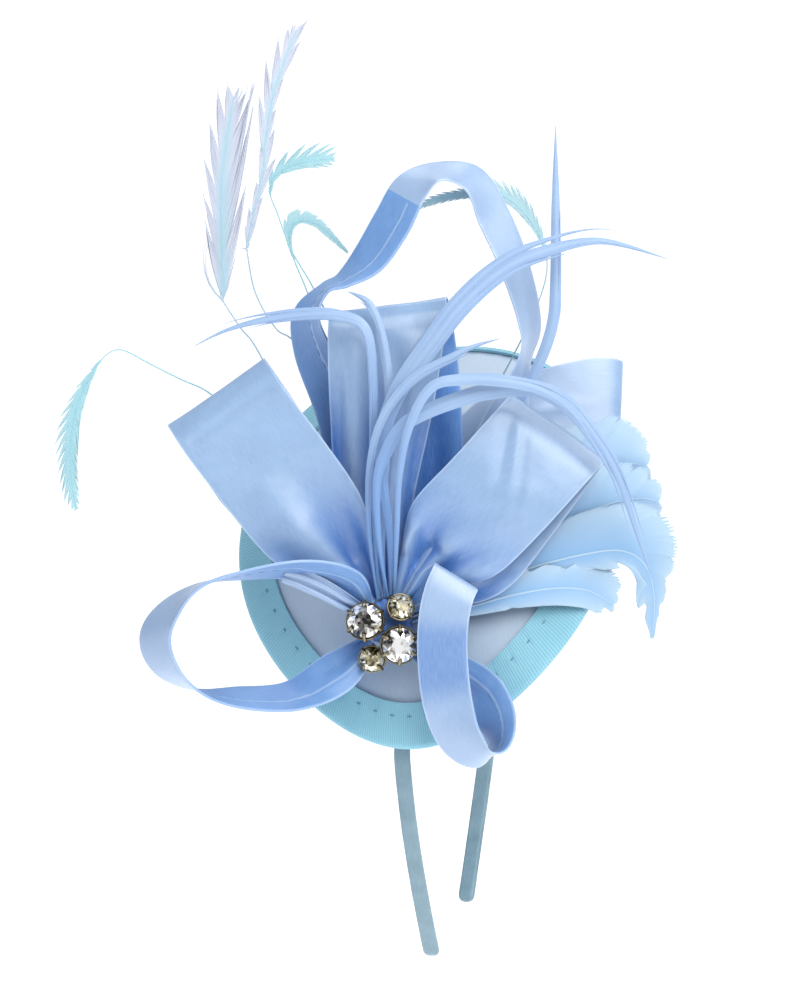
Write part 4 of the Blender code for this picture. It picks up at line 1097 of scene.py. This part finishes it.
biotRows = {  # across, up, out in shares of the reach, and the width share
    "biot_short": [
        (-0.010, 0.083, 0.159, 0.30), (-0.015, 0.250, 0.205, 0.45), (-0.010, 0.470, 0.225, 0.70),
        (0.005, 0.740, 0.230, 0.90),
        (-0.015, 0.930, 0.225, 1.00), (-0.060, 1.060, 0.210, 0.80), (-0.134, 1.105, 0.190, 0.06)],
    "biot_left": [
        (-0.030, 0.079, 0.159, 0.25), (-0.040, 0.250, 0.195, 0.40), (-0.050, 0.500, 0.225, 0.60),
        (-0.050, 0.800, 0.255, 0.80),
        (-0.075, 0.975, 0.260, 0.90), (-0.170, 1.022, 0.250, 1.00), (-0.295, 1.024, 0.240, 0.90),
        (-0.430, 1.005, 0.230, 0.60),
        (-0.546, 0.971, 0.220, 0.30), (-0.646, 0.921, 0.210, 0.05)],
    "biot_right": [
        (0.010, 0.084, 0.159, 0.20), (0.005, 0.300, 0.250, 0.40), (-0.020, 0.500, 0.275, 0.60),
        (-0.012, 0.640, 0.285, 0.75),
        (0.020, 0.737, 0.290, 0.85), (0.066, 0.820, 0.290, 0.95), (0.140, 0.920, 0.285, 1.00),
        (0.238, 1.049, 0.280, 1.00),
        (0.375, 1.170, 0.270, 1.00), (0.510, 1.233, 0.260, 0.95), (0.710, 1.273, 0.240, 0.50),
        (0.930, 1.216, 0.220, 0.05)],
    "biot_upper": [
        (-0.034, 0.077, 0.169, 0.22), (-0.062, 0.300, 0.260, 0.50), (-0.060, 0.516, 0.310, 0.75),
        (-0.017, 0.680, 0.330, 0.90),
        (0.080, 0.807, 0.335, 1.00), (0.214, 0.884, 0.330, 0.80), (0.290, 0.920, 0.320, 0.45),
        (0.375, 0.945, 0.310, 0.06)],
    "biot_fall": [
        (0.000, 0.085, 0.169, 0.20), (-0.030, 0.280, 0.300, 0.40), (-0.035, 0.472, 0.350, 0.60),
        (0.000, 0.576, 0.370, 0.75),
        (0.050, 0.653, 0.375, 0.85), (0.120, 0.697, 0.375, 0.90), (0.220, 0.737, 0.375, 0.95),
        (0.330, 0.768, 0.370, 1.00),
        (0.476, 0.780, 0.355, 1.00), (0.586, 0.735, 0.345, 1.00), (0.687, 0.620, 0.335, 0.85),
        (0.765, 0.490, 0.320, 0.65),
        (0.830, 0.300, 0.290, 0.40), (0.884, 0.134, 0.260, 0.05)],
    "biot_fall_low": [
        (0.022, 0.083, 0.169, 0.22), (0.030, 0.300, 0.310, 0.50), (0.040, 0.500, 0.400, 0.60),
        (0.075, 0.660, 0.430, 0.80),
        (0.145, 0.780, 0.435, 0.90), (0.250, 0.805, 0.430, 1.00), (0.380, 0.800, 0.425, 1.00),
        (0.510, 0.770, 0.415, 0.85),
        (0.610, 0.700, 0.400, 0.50), (0.690, 0.585, 0.380, 0.05)],
    "biot_upright": [
        (0.048, 0.069, 0.096, 0.25), (0.200, 0.350, 0.100, 0.50), (0.410, 0.690, 0.120, 0.80),
        (0.500, 0.850, 0.130, 0.95),
        (0.552, 1.000, 0.140, 1.00), (0.562, 1.150, 0.140, 0.95), (0.562, 1.400, 0.130, 0.70),
        (0.562, 1.660, 0.120, 0.05)],
}


def makeBiot(name, rows, plan):
    fine, centres, _, sides, facings = spineOf(rows, 10)
    count = len(fine)
    store = newStore()
    for startOff, endOff, lift, endAt, share in plan["strands"]:
        last = max(4, int((count - 1) * endAt))
        path, widths = [], []
        for k in range(last + 1):
            t = k / last
            spread = (startOff + (endOff - startOff) * t**2.2) * min(1.0, 4 * t)
            raised = lift * math.sin(math.pi * min(1.0, t * 1.1))
            path.append(centres[k] + sides[k] * (spread * mm) + facings[k] * (raised * mm))
            wide = plan["widest"] * share * fine[k][3]
            if endAt < 1:
                wide *= min(1.0, (1 - t) / bladePlan["tipTaper"] + 0.04) ** 0.8
            widths.append(max(bladePlan["thinnest"], wide))
        tips = [k / (count - 1) for k in range(last + 1)]
        addBlade(store, path, widths, tips, 0.15 + 0.5 * (1 - share), bladePlan)
    closeStore(store, name + "_blades", quillBlue, [name])


for biotName, plan in biotPlan.items():
    makeBiot(biotName, biotRows[biotName], plan)
print("biots ready")


def addTube(store, path, radii, sides, tip, tone):
    store["faces"] += ringFaces(len(store["points"]), len(path), sides)
    for point, way, radius in zip(path, waysAlong(path), radii):
        side = way.cross(out)
        side = side.normalized() if side.length > 1e-6 else across
        facing = side.cross(way).normalized()
        store["points"] += ringPoints(point, side, facing, sides, radius, radius)
    store["tipShare"] += [tip] * (sides * len(path))
    store["barbToneAndShade"] += [tone] * (sides * len(path))


def addBarb(store, root, first, last, facing, length, width, tone, plan, tipFrom):
    # a flat tapered filament that bends from one direction to another
    segments = plan["segments"]
    store["faces"] += ringFaces(len(store["points"]), segments + 1, 4)
    point = root.copy()
    for k in range(segments + 1):
        t = k / segments
        way = (first * (1 - t) + last * t).normalized()
        if k:
            point = point + way * (length / segments)
        size = width * (1 - t**plan["blunt"]) ** 0.7 + plan["tipWidth"]
        side = facing.cross(way).normalized() * (size / 2)
        deep = facing * (plan["thick"] * (1 - 0.7 * t) / 2)
        store["points"] += [point + side, point + deep, point - side, point - deep]
        store["tipShare"] += [tipFrom + (1 - tipFrom) * t] * 4
        store["barbToneAndShade"] += [tone] * 4


def makeHackle(name, rows, plan, material):
    fine, centres, ways, sides, facings = spineOf(rows, 14)
    travelled = runAlong(centres)
    whole, count, angle = travelled[-1], len(fine), math.radians(plan["angle"])
    store = newStore()
    radii = [plan["stem"] / 2 * (1 - 0.72 * k / count) for k in range(count)]
    addTube(store, centres, radii, 6, plan["stemTone"], plan["stemStripe"])

    def tipOf(s, sign):
        # where the stem is after s metres, and where a barb that grows there on this side ends
        k = min(bisect.bisect_right(travelled, s), count - 1)
        f = (s - travelled[k - 1]) / (travelled[k] - travelled[k - 1])
        root = centres[k - 1].lerp(centres[k], f)
        column = 3 if sign < 0 else 4
        lateral = (fine[k - 1][column] * (1 - f) + fine[k][column] * f) * reach
        tip = root + sides[k] * (sign * lateral) + ways[k] * (lateral / math.tan(angle))
        return k, root, lateral, tip

    loose, s, lastTip = plan["loose"], 0.0, {}
    while s < whole:
        for sign in (-1, 1):
            k, root, lateral, tip = tipOf(s, sign)
            if lateral < 0.3 * mm:
                continue
            # neighbouring barbs cling together in tufts, with gaps between
            tuft = (math.floor(s / plan["tuft"] + 0.3 * sign) + 0.5 - 0.3 * sign) * plan["tuft"]
            tuftLateral, gathered = tipOf(max(0.0, min(whole * 0.999, tuft)), sign)[2:]
            if tuftLateral < 0.5 * lateral:
                gathered = tip
            spread = 1.0
            if sign in lastTip:
                spread = min(3.0, (tip - lastTip[sign]).length / plan["spacing"])
            lastTip[sign] = tip
            wave = noise.noise(Vector((s * 60, sign * 5.3, plan["seed"])))
            gap = noise.noise(Vector((s * 170, sign * 3.1, plan["seed"] + 40)))
            notch = plan["notch"] * max(0.0, gap - 0.18)
            target = tip.lerp(gathered, plan["gather"])
            chord = (target - root) * (1 + loose * 0.30 * (dice.random() - 0.5)) * (1 - notch)
            raised = facings[k] * (plan["lift"] + loose * 0.12 * (dice.random() - 0.5))
            chord += raised * chord.length
            bow = angle * plan["bow"]
            first = (ways[k] * math.cos(bow) + sides[k] * (sign * math.sin(bow))).normalized()
            last = (chord.normalized() * 2 - first).normalized()
            laid = (facings[k] + ways[k] * plan["shingle"]).normalized()
            broad = plan["barb"] * (1 if loose > 0.5 else max(1.0, spread))
            tone = 0.5 + 0.5 * wave + 0.4 * loose * (dice.random() - 0.5)
            addBarb(store, root, first, last, laid, chord.length, broad, tone, plan,
                    plan["tipFrom"] * s / whole)
        s += plan["spacing"]
    return closeStore(store, name + "_barbs", material, [name])


# Stripped hackles: a bare stem with long loose barbs left at the tip; left and right are how far
# the barbs reach to each side.
hackleRows = {  # across, up, out in shares of the reach, left, right
    "hackle_left": [
        (-0.040, 0.074, 0.020, 0, 0), (-0.220, 0.450, -0.060, 0, 0), (-0.422, 0.881, -0.060, 0, 0),
        (-0.496, 0.988, -0.030, 0, 0),
        (-0.550, 1.070, 0.000, 0, 0), (-0.556, 1.090, 0.002, 0.058, 0.045),
        (-0.555, 1.165, 0.010, 0.055, 0.080),
        (-0.559, 1.286, 0.010, 0.050, 0.110), (-0.560, 1.450, 0.000, 0.052, 0.090),
        (-0.545, 1.600, -0.010, 0.048, 0.050),
        (-0.520, 1.760, -0.020, 0.010, 0.010)],
    "hackle_tall": [
        (-0.025, 0.080, 0.020, 0, 0), (-0.130, 0.450, -0.080, 0, 0), (-0.288, 0.894, -0.090, 0, 0),
        (-0.379, 0.988, -0.070, 0, 0),
        (-0.446, 1.106, -0.040, 0, 0), (-0.472, 1.240, 0.040, 0, 0),
        (-0.472, 1.260, 0.042, 0.020, 0.012),
        (-0.448, 1.380, 0.060, 0.014, 0.022), (-0.420, 1.500, 0.060, 0.022, 0.030),
        (-0.408, 1.625, 0.050, 0.040, 0.020),
        (-0.385, 1.760, 0.040, 0.040, 0.022), (-0.345, 1.890, 0.030, 0.024, 0.034),
        (-0.312, 1.980, 0.020, 0.006, 0.008)],
    "hackle_curl": [
        (-0.010, 0.083, 0.022, 0, 0), (-0.080, 0.450, -0.100, 0, 0), (-0.180, 0.950, -0.120, 0, 0),
        (-0.248, 1.116, -0.080, 0, 0),
        (-0.325, 1.250, -0.060, 0, 0), (-0.372, 1.374, -0.050, 0, 0),
        (-0.395, 1.437, -0.040, 0.004, 0.004),
        (-0.382, 1.495, -0.030, 0.030, 0.020), (-0.328, 1.531, -0.030, 0.045, 0.030),
        (-0.261, 1.548, -0.030, 0.040, 0.030),
        (-0.184, 1.558, -0.040, 0.004, 0.004)],
    "hackle_small": [
        (-0.055, 0.064, 0.018, 0, 0), (-0.120, 0.450, -0.130, 0, 0), (-0.220, 0.950, -0.170, 0, 0),
        (-0.272, 1.110, -0.170, 0, 0),
        (-0.322, 1.235, -0.150, 0.004, 0.004), (-0.330, 1.313, -0.140, 0.030, 0.012),
        (-0.296, 1.350, -0.140, 0.025, 0.014),
        (-0.228, 1.333, -0.140, 0.015, 0.018), (-0.137, 1.246, -0.140, 0.004, 0.004)],
    "hackle_far": [
        (-0.070, 0.046, 0.016, 0, 0), (-0.330, 0.430, -0.060, 0, 0), (-0.490, 0.670, -0.020, 0, 0),
        (-0.604, 0.770, 0.000, 0, 0), (-0.697, 0.814, 0.010, 0, 0),
        (-0.797, 0.864, 0.020, 0, 0), (-0.881, 0.908, 0.030, 0, 0), (-0.925, 0.908, 0.030, 0, 0),
        (-0.965, 0.875, 0.030, 0.004, 0.004),
        (-1.005, 0.810, 0.030, 0.020, 0.030), (-1.045, 0.715, 0.020, 0.035, 0.040),
        (-1.065, 0.603, 0.010, 0.030, 0.035),
        (-1.065, 0.486, 0.000, 0.022, 0.028), (-1.049, 0.379, 0.000, 0.004, 0.004)],
    "hackle_behind": [
        (0.012, 0.083, 0.008, 0, 0), (0.030, 0.170, -0.018, 0, 0), (0.180, 0.450, -0.080, 0, 0),
        (0.400, 0.850, -0.160, 0, 0),
        (0.510, 1.080, -0.120, 0, 0), (0.536, 1.223, -0.080, 0.004, 0.004),
        (0.480, 1.350, -0.070, 0.020, 0.036),
        (0.392, 1.430, -0.060, 0.022, 0.034), (0.285, 1.440, -0.040, 0.018, 0.020),
        (0.170, 1.420, -0.020, 0.015, 0.015),
        (0.100, 1.390, 0.000, 0.004, 0.004)],
}
barbPlan = {"loose": 1.0, "notch": 0.0, "lift": 0.0, "shingle": 0.0, "tipFrom": 0.1, "blunt": 1.6,
            "segments": 6, "bow": 1.3, "spacing": 0.36 * mm, "tuft": 4.2 * mm, "gather": 0.78,
            "stem": 0.7 * mm, "thick": 0.08 * mm, "tipWidth": 0.05 * mm,
            "stemTone": 0.2, "stemStripe": 0.3}
hacklePlan = {
    "hackle_left": {"barb": 0.60 * mm, "angle": 15, "seed": 2.2, "tuft": 12 * mm, "gather": 0.84},
    "hackle_tall": {"barb": 0.50 * mm, "angle": 14, "seed": 4.7, "tuft": 10 * mm, "gather": 0.84},
    "hackle_curl": {"barb": 0.44 * mm, "angle": 26, "seed": 6.1, "tuft": 3.4 * mm},
    "hackle_small": {"barb": 0.50 * mm, "angle": 30, "seed": 8.9, "gather": 0.2, "loose": 0.4},
    "hackle_far": {"barb": 0.44 * mm, "angle": 20, "seed": 9.6, "tuft": 3.6 * mm},
    "hackle_behind": {"barb": 0.34 * mm, "angle": 24, "seed": 12.4, "tuft": 2.6 * mm,
                      "gather": 0.5},
}
# hackle_behind takes the paler copy, which is painted light
hackleDyesAndPaintedLight = {"hackle_left": hacklePale, "hackle_tall": hacklePale, "hackle_behind": hackleAquaPaintedLight}
for hackleName, rows in hackleRows.items():
    dyed = hackleDyesAndPaintedLight.get(hackleName, hackleAqua)
    makeHackle(hackleName, rows, {**barbPlan, **hacklePlan[hackleName]}, dyed)
print("hackles ready")

# The fan: broad soft feathers with a full vane; the barbs lie edge to edge and part at the rim.
fanRows = {
    "fan_feather_top": [
        (0.072, 0.044, 0.052, 0, 0), (0.300, 0.250, 0.070, 0.100, 0.080),
        (0.500, 0.400, 0.070, 0.160, 0.140),
        (0.660, 0.490, 0.060, 0.150, 0.150), (0.780, 0.528, 0.040, 0.085, 0.100),
        (0.865, 0.525, 0.020, 0.012, 0.020)],
    "fan_feather_inner": [
        (0.078, 0.032, 0.056, 0, 0), (0.300, 0.170, 0.092, 0.080, 0.080),
        (0.500, 0.290, 0.095, 0.140, 0.120),
        (0.700, 0.380, 0.085, 0.120, 0.110), (0.830, 0.412, 0.065, 0.070, 0.070),
        (0.905, 0.405, 0.045, 0.010, 0.020)],
    "fan_feather_middle": [
        (0.082, 0.018, 0.062, 0, 0), (0.280, 0.105, 0.115, 0.070, 0.050),
        (0.480, 0.180, 0.122, 0.130, 0.070),
        (0.650, 0.224, 0.118, 0.150, 0.070), (0.780, 0.238, 0.105, 0.130, 0.085),
        (0.862, 0.190, 0.085, 0.066, 0.090),
        (0.893, 0.085, 0.065, 0.028, 0.045), (0.888, -0.055, 0.050, 0.004, 0.004)],
    "fan_feather_low": [
        (0.084, 0.002, 0.078, 0, 0), (0.250, 0.045, 0.138, 0.060, 0.035),
        (0.420, 0.090, 0.148, 0.080, 0.055),
        (0.560, 0.112, 0.138, 0.084, 0.070), (0.668, 0.105, 0.114, 0.084, 0.074),
        (0.755, 0.058, 0.092, 0.012, 0.016)],
}
vanePlan = {"loose": 0.10, "notch": 0.8, "lift": -0.08, "shingle": 0.10, "tipFrom": 0.5,
            "blunt": 3.0, "segments": 7, "bow": 1.45, "spacing": 0.30 * mm, "tuft": 5.0 * mm,
            "gather": 0.10, "stem": 1.0 * mm, "barb": 0.95 * mm, "thick": 0.08 * mm,
            "tipWidth": 0.05 * mm, "angle": 40, "stemTone": 1.0, "stemStripe": 0.0}
fanPlan = {
    "fan_feather_top": {"seed": 14.1},
    "fan_feather_inner": {"seed": 15.8},
    "fan_feather_middle": {"seed": 16.3},
    "fan_feather_low": {"seed": 18.7, "angle": 44},
}
for fanName, rows in fanRows.items():
    makeHackle(fanName, rows, {**vanePlan, **fanPlan[fanName]}, fanBlue)
print("fan feathers ready")


def crystalMaterial(name, dark, light, warm):
    # foil-backed cut lead crystal with painted reflections: each facet is painted its own reflected
    # light, near black to white, in place of the mirrored lights and darks
    material, tree, shader = startMaterial(name)
    facet = addNode(tree, "ShaderNodeAttribute", {"attribute_name": "paintedFacetReflection"})
    place = addNode(tree, "ShaderNodeTexCoord").outputs["Object"]
    # painted reflection: the pavilion seen through the crown is painted as shards about 1.2 mm
    # across on each facet
    shards = addNode(tree, "ShaderNodeTexVoronoi", {"Scale": 820.0}, {"Vector": place})
    shardReflection = addNode(tree, "ShaderNodeSeparateColor", {}, {0: shards.outputs["Color"]})
    both = addNode(tree, "ShaderNodeMath", {"operation": "MULTIPLY_ADD", 1: 0.55},
                   {0: shardReflection.outputs[0], 2: facet.outputs["Fac"]})
    ramp = addNode(tree, "ShaderNodeValToRGB", {}, {"Fac": both.outputs[0]})
    stops = ramp.color_ramp.elements
    stops[0].position, stops[0].color = 0.28, linear(dark)
    stops[1].position, stops[1].color = 0.86, linear(light)
    stops.new(0.55).color = linear(warm)
    fillNode(tree, shader, {"Metallic": 0.55, "Roughness": 0.06, "Coat Weight": 1.0,
                            "Coat Roughness": 0.02, "Coat IOR": 1.6},
             {"Base Color": ramp.outputs[0]})
    return material


def settingMaterial():
    # cast brass, plated dark and rubbed bright on the claws
    material, tree, shader = startMaterial("darkPlatedBrass")
    place = addNode(tree, "ShaderNodeTexCoord").outputs["Object"]
    worn = addNode(tree, "ShaderNodeTexNoise", {"Scale": 900.0, "Detail": 3.0},
                   {"Vector": place}).outputs["Fac"]
    tone = addNode(tree, "ShaderNodeMix",
                   {"data_type": "RGBA", 6: linear("#2e2a22"), 7: linear("#b8ab8c")},
                   {"Factor": worn})
    rough = addNode(tree, "ShaderNodeMapRange", {"To Min": 0.25, "To Max": 0.45}, {"Value": worn})
    fillNode(tree, shader, {"Metallic": 1.0},
             {"Base Color": tone.outputs[2], "Roughness": rough.outputs[0]})
    return material


# painted reflection colours for each crystal: near black, bright, and a warm glint between them
crystalClear = crystalMaterial("foiledLeadCrystal", "#17150f", "#ffffff", "#8f8b86")
crystalOlive = crystalMaterial("foiledLeadCrystalSmoky", "#14120a", "#f6f0d8", "#7d7242")
darkBrass = settingMaterial()
# the facet values are the levels of painted reflection a facet may get
stonePlan = {"large": 11.8 * mm, "small": 8.2 * mm, "height": 0.52, "wall": 0.5 * mm,
             "gap": 0.3 * mm, "facets": 12, "reflectionLevels": [0.02, 0.12, 0.25, 0.42, 0.6, 0.75],
             "wire": 0.55 * mm, "clawsLarge": 6, "clawsSmall": 4}
stoneTable = {  # size, across, up, lift over the knot, turn and tilt from the trimming's out
    "left": ("large", -7.0 * mm, 0.0, 1.2 * mm, -12, 8, crystalClear),
    "right": ("large", 3.6 * mm, -7.3 * mm, 1.2 * mm, 6, -6, crystalClear),
    "top": ("small", 4.0 * mm, 4.6 * mm, 1.6 * mm, 12, 14, crystalOlive),
    "low": ("small", -5.0 * mm, -12.0 * mm, -3.6 * mm, -8, -12, crystalOlive),
}


def stoneAxes(facing):
    side = (across - facing * facing.dot(across)).normalized()
    return side, facing.cross(side)


def makeStone(name, centre, facing, radius, crystal):
    height = radius * 2 * stonePlan["height"]
    side, top = stoneAxes(facing)
    n = stonePlan["facets"]
    rings = [  # radius share, level share, points, half-step shift
        (0.50, 1.0, n, 0.0), (0.80, 0.86, n, 0.5), (0.995, 0.62, 2 * n, 0.0),
        (0.995, 0.55, 2 * n, 0.0), (0.50, 0.22, n, 0.5), (0.10, 0.0, n, 0.0)]
    points, starts = [], []
    for size, level, count, shift in rings:
        starts.append(len(points))
        middle = centre + facing * (level * height)
        points += ringPoints(middle, side, top, count, size * radius, size * radius, shift)
    t, m, g, h, p, c = starts
    faces = [tuple(t + k for k in range(n))]
    for k in range(n):
        n1, p1, far = (k + 1) % n, (k - 1) % n, (2 * k + 2) % (2 * n)
        faces += [
            (t + k, m + k, t + n1),  # star facets
            (t + k, m + p1, g + 2 * k, m + k),  # kites
            (m + k, g + 2 * k, g + 2 * k + 1), (m + k, g + 2 * k + 1, g + far),  # upper girdle
            (h + 2 * k, h + 2 * k + 1, p + k), (h + 2 * k + 1, h + far, p + k),
            (h + 2 * k, p + k, c + k, p + p1), (p + k, c + n1, c + k)]
    for k in range(2 * n):
        n1 = (k + 1) % (2 * n)
        faces.append((g + k, h + k, h + n1, g + n1))
    faces.append(tuple(c + k for k in range(n - 1, -1, -1)))
    piece = finish(name + "_cut", points, faces, [crystal], replaces=[name],
                   smooth=False)
    fixNormals(piece)
    # each facet is given its own level of painted reflection, drawn after one idle draw for every
    # facet
    draw = random.Random(name)
    reflectionLevels = [draw.choice(stonePlan["reflectionLevels"]) for _ in range(2 * len(faces))][len(faces):]
    values = []
    for polygon, tone in zip(piece.data.polygons, reflectionLevels):
        values += [tone] * polygon.loop_total
    piece.data.attributes.new("paintedFacetReflection", "FLOAT", "CORNER").data.foreach_set("value", values)
    return piece


def makeSetting(name, centre, facing, radius):
    height = radius * 2 * stonePlan["height"]
    side, top = stoneAxes(facing)
    inner = radius + stonePlan["gap"] * 0.6
    outer = inner + stonePlan["wall"]
    floor = -stonePlan["gap"] - stonePlan["wall"]
    # the cup's section: radius, and level along its axis
    profile = [(0.14 * inner, floor), (0.60 * outer, floor), (0.80 * outer, 0.04 * height),
               (0.99 * outer, 0.25 * height), (outer, 0.40 * height), (outer, 0.46 * height),
               (outer - 0.15 * mm, 0.50 * height), (inner + 0.1 * mm, 0.50 * height),
               (inner, 0.46 * height), (inner, 0.36 * height), (0.50 * inner, 0.10 * height),
               (0.14 * inner, -stonePlan["gap"])]
    points, faces = [], ringFaces(0, len(profile), 40)
    for size, level in profile:
        points += ringPoints(centre + facing * level, side, top, 40, size, size)
    # claws: round wires that rise outside the cup, bend in over the girdle and end in a bead
    claws = stonePlan["clawsLarge" if radius > 5 * mm else "clawsSmall"]
    wire = stonePlan["wire"]
    path = [  # radius, level, thickness share
        (0.62 * outer, floor + 0.3 * mm, 0.8), (outer + 0.05 * mm, 0.22 * height, 1.0),
        (outer + 0.15 * mm, 0.48 * height, 1.0), (outer + 0.05 * mm, 0.64 * height, 1.0),
        (inner - 0.35 * mm, 0.76 * height, 1.05), (inner - 1.0 * mm, 0.83 * height, 1.15),
        (inner - 1.45 * mm, 0.86 * height, 0.6)]
    for c in range(claws):
        a = 2 * math.pi * (c + 0.5) / claws
        radial = side * math.cos(a) + top * math.sin(a)
        tangent = side * -math.sin(a) + top * math.cos(a)
        faces += ringFaces(len(points), len(path), 8)
        middles = [centre + radial * away + facing * level for away, level, size in path]
        for middle, way, (away, level, size) in zip(middles, waysAlong(middles), path):
            points += ringPoints(middle, tangent, tangent.cross(way), 8, wire * size,
                                 0.8 * wire * size)
    piece = finish(name + "_claws", points, faces, [darkBrass], replaces=[name])
    fixNormals(piece)


for stoneName, (size, a, u, lift, turn, tilt, crystal) in stoneTable.items():
    facing = turned(viewTurn + math.radians(turn), viewTilt + math.radians(tilt))
    centre = trimPoint(a, u, knotPlan["height"] + lift + stonePlan["wall"] + stonePlan["gap"])
    makeStone("stone_" + stoneName, centre, facing, stonePlan[size] / 2, crystal)
    makeSetting("setting_" + stoneName, centre, facing, stonePlan[size] / 2)
print("stones and settings ready")
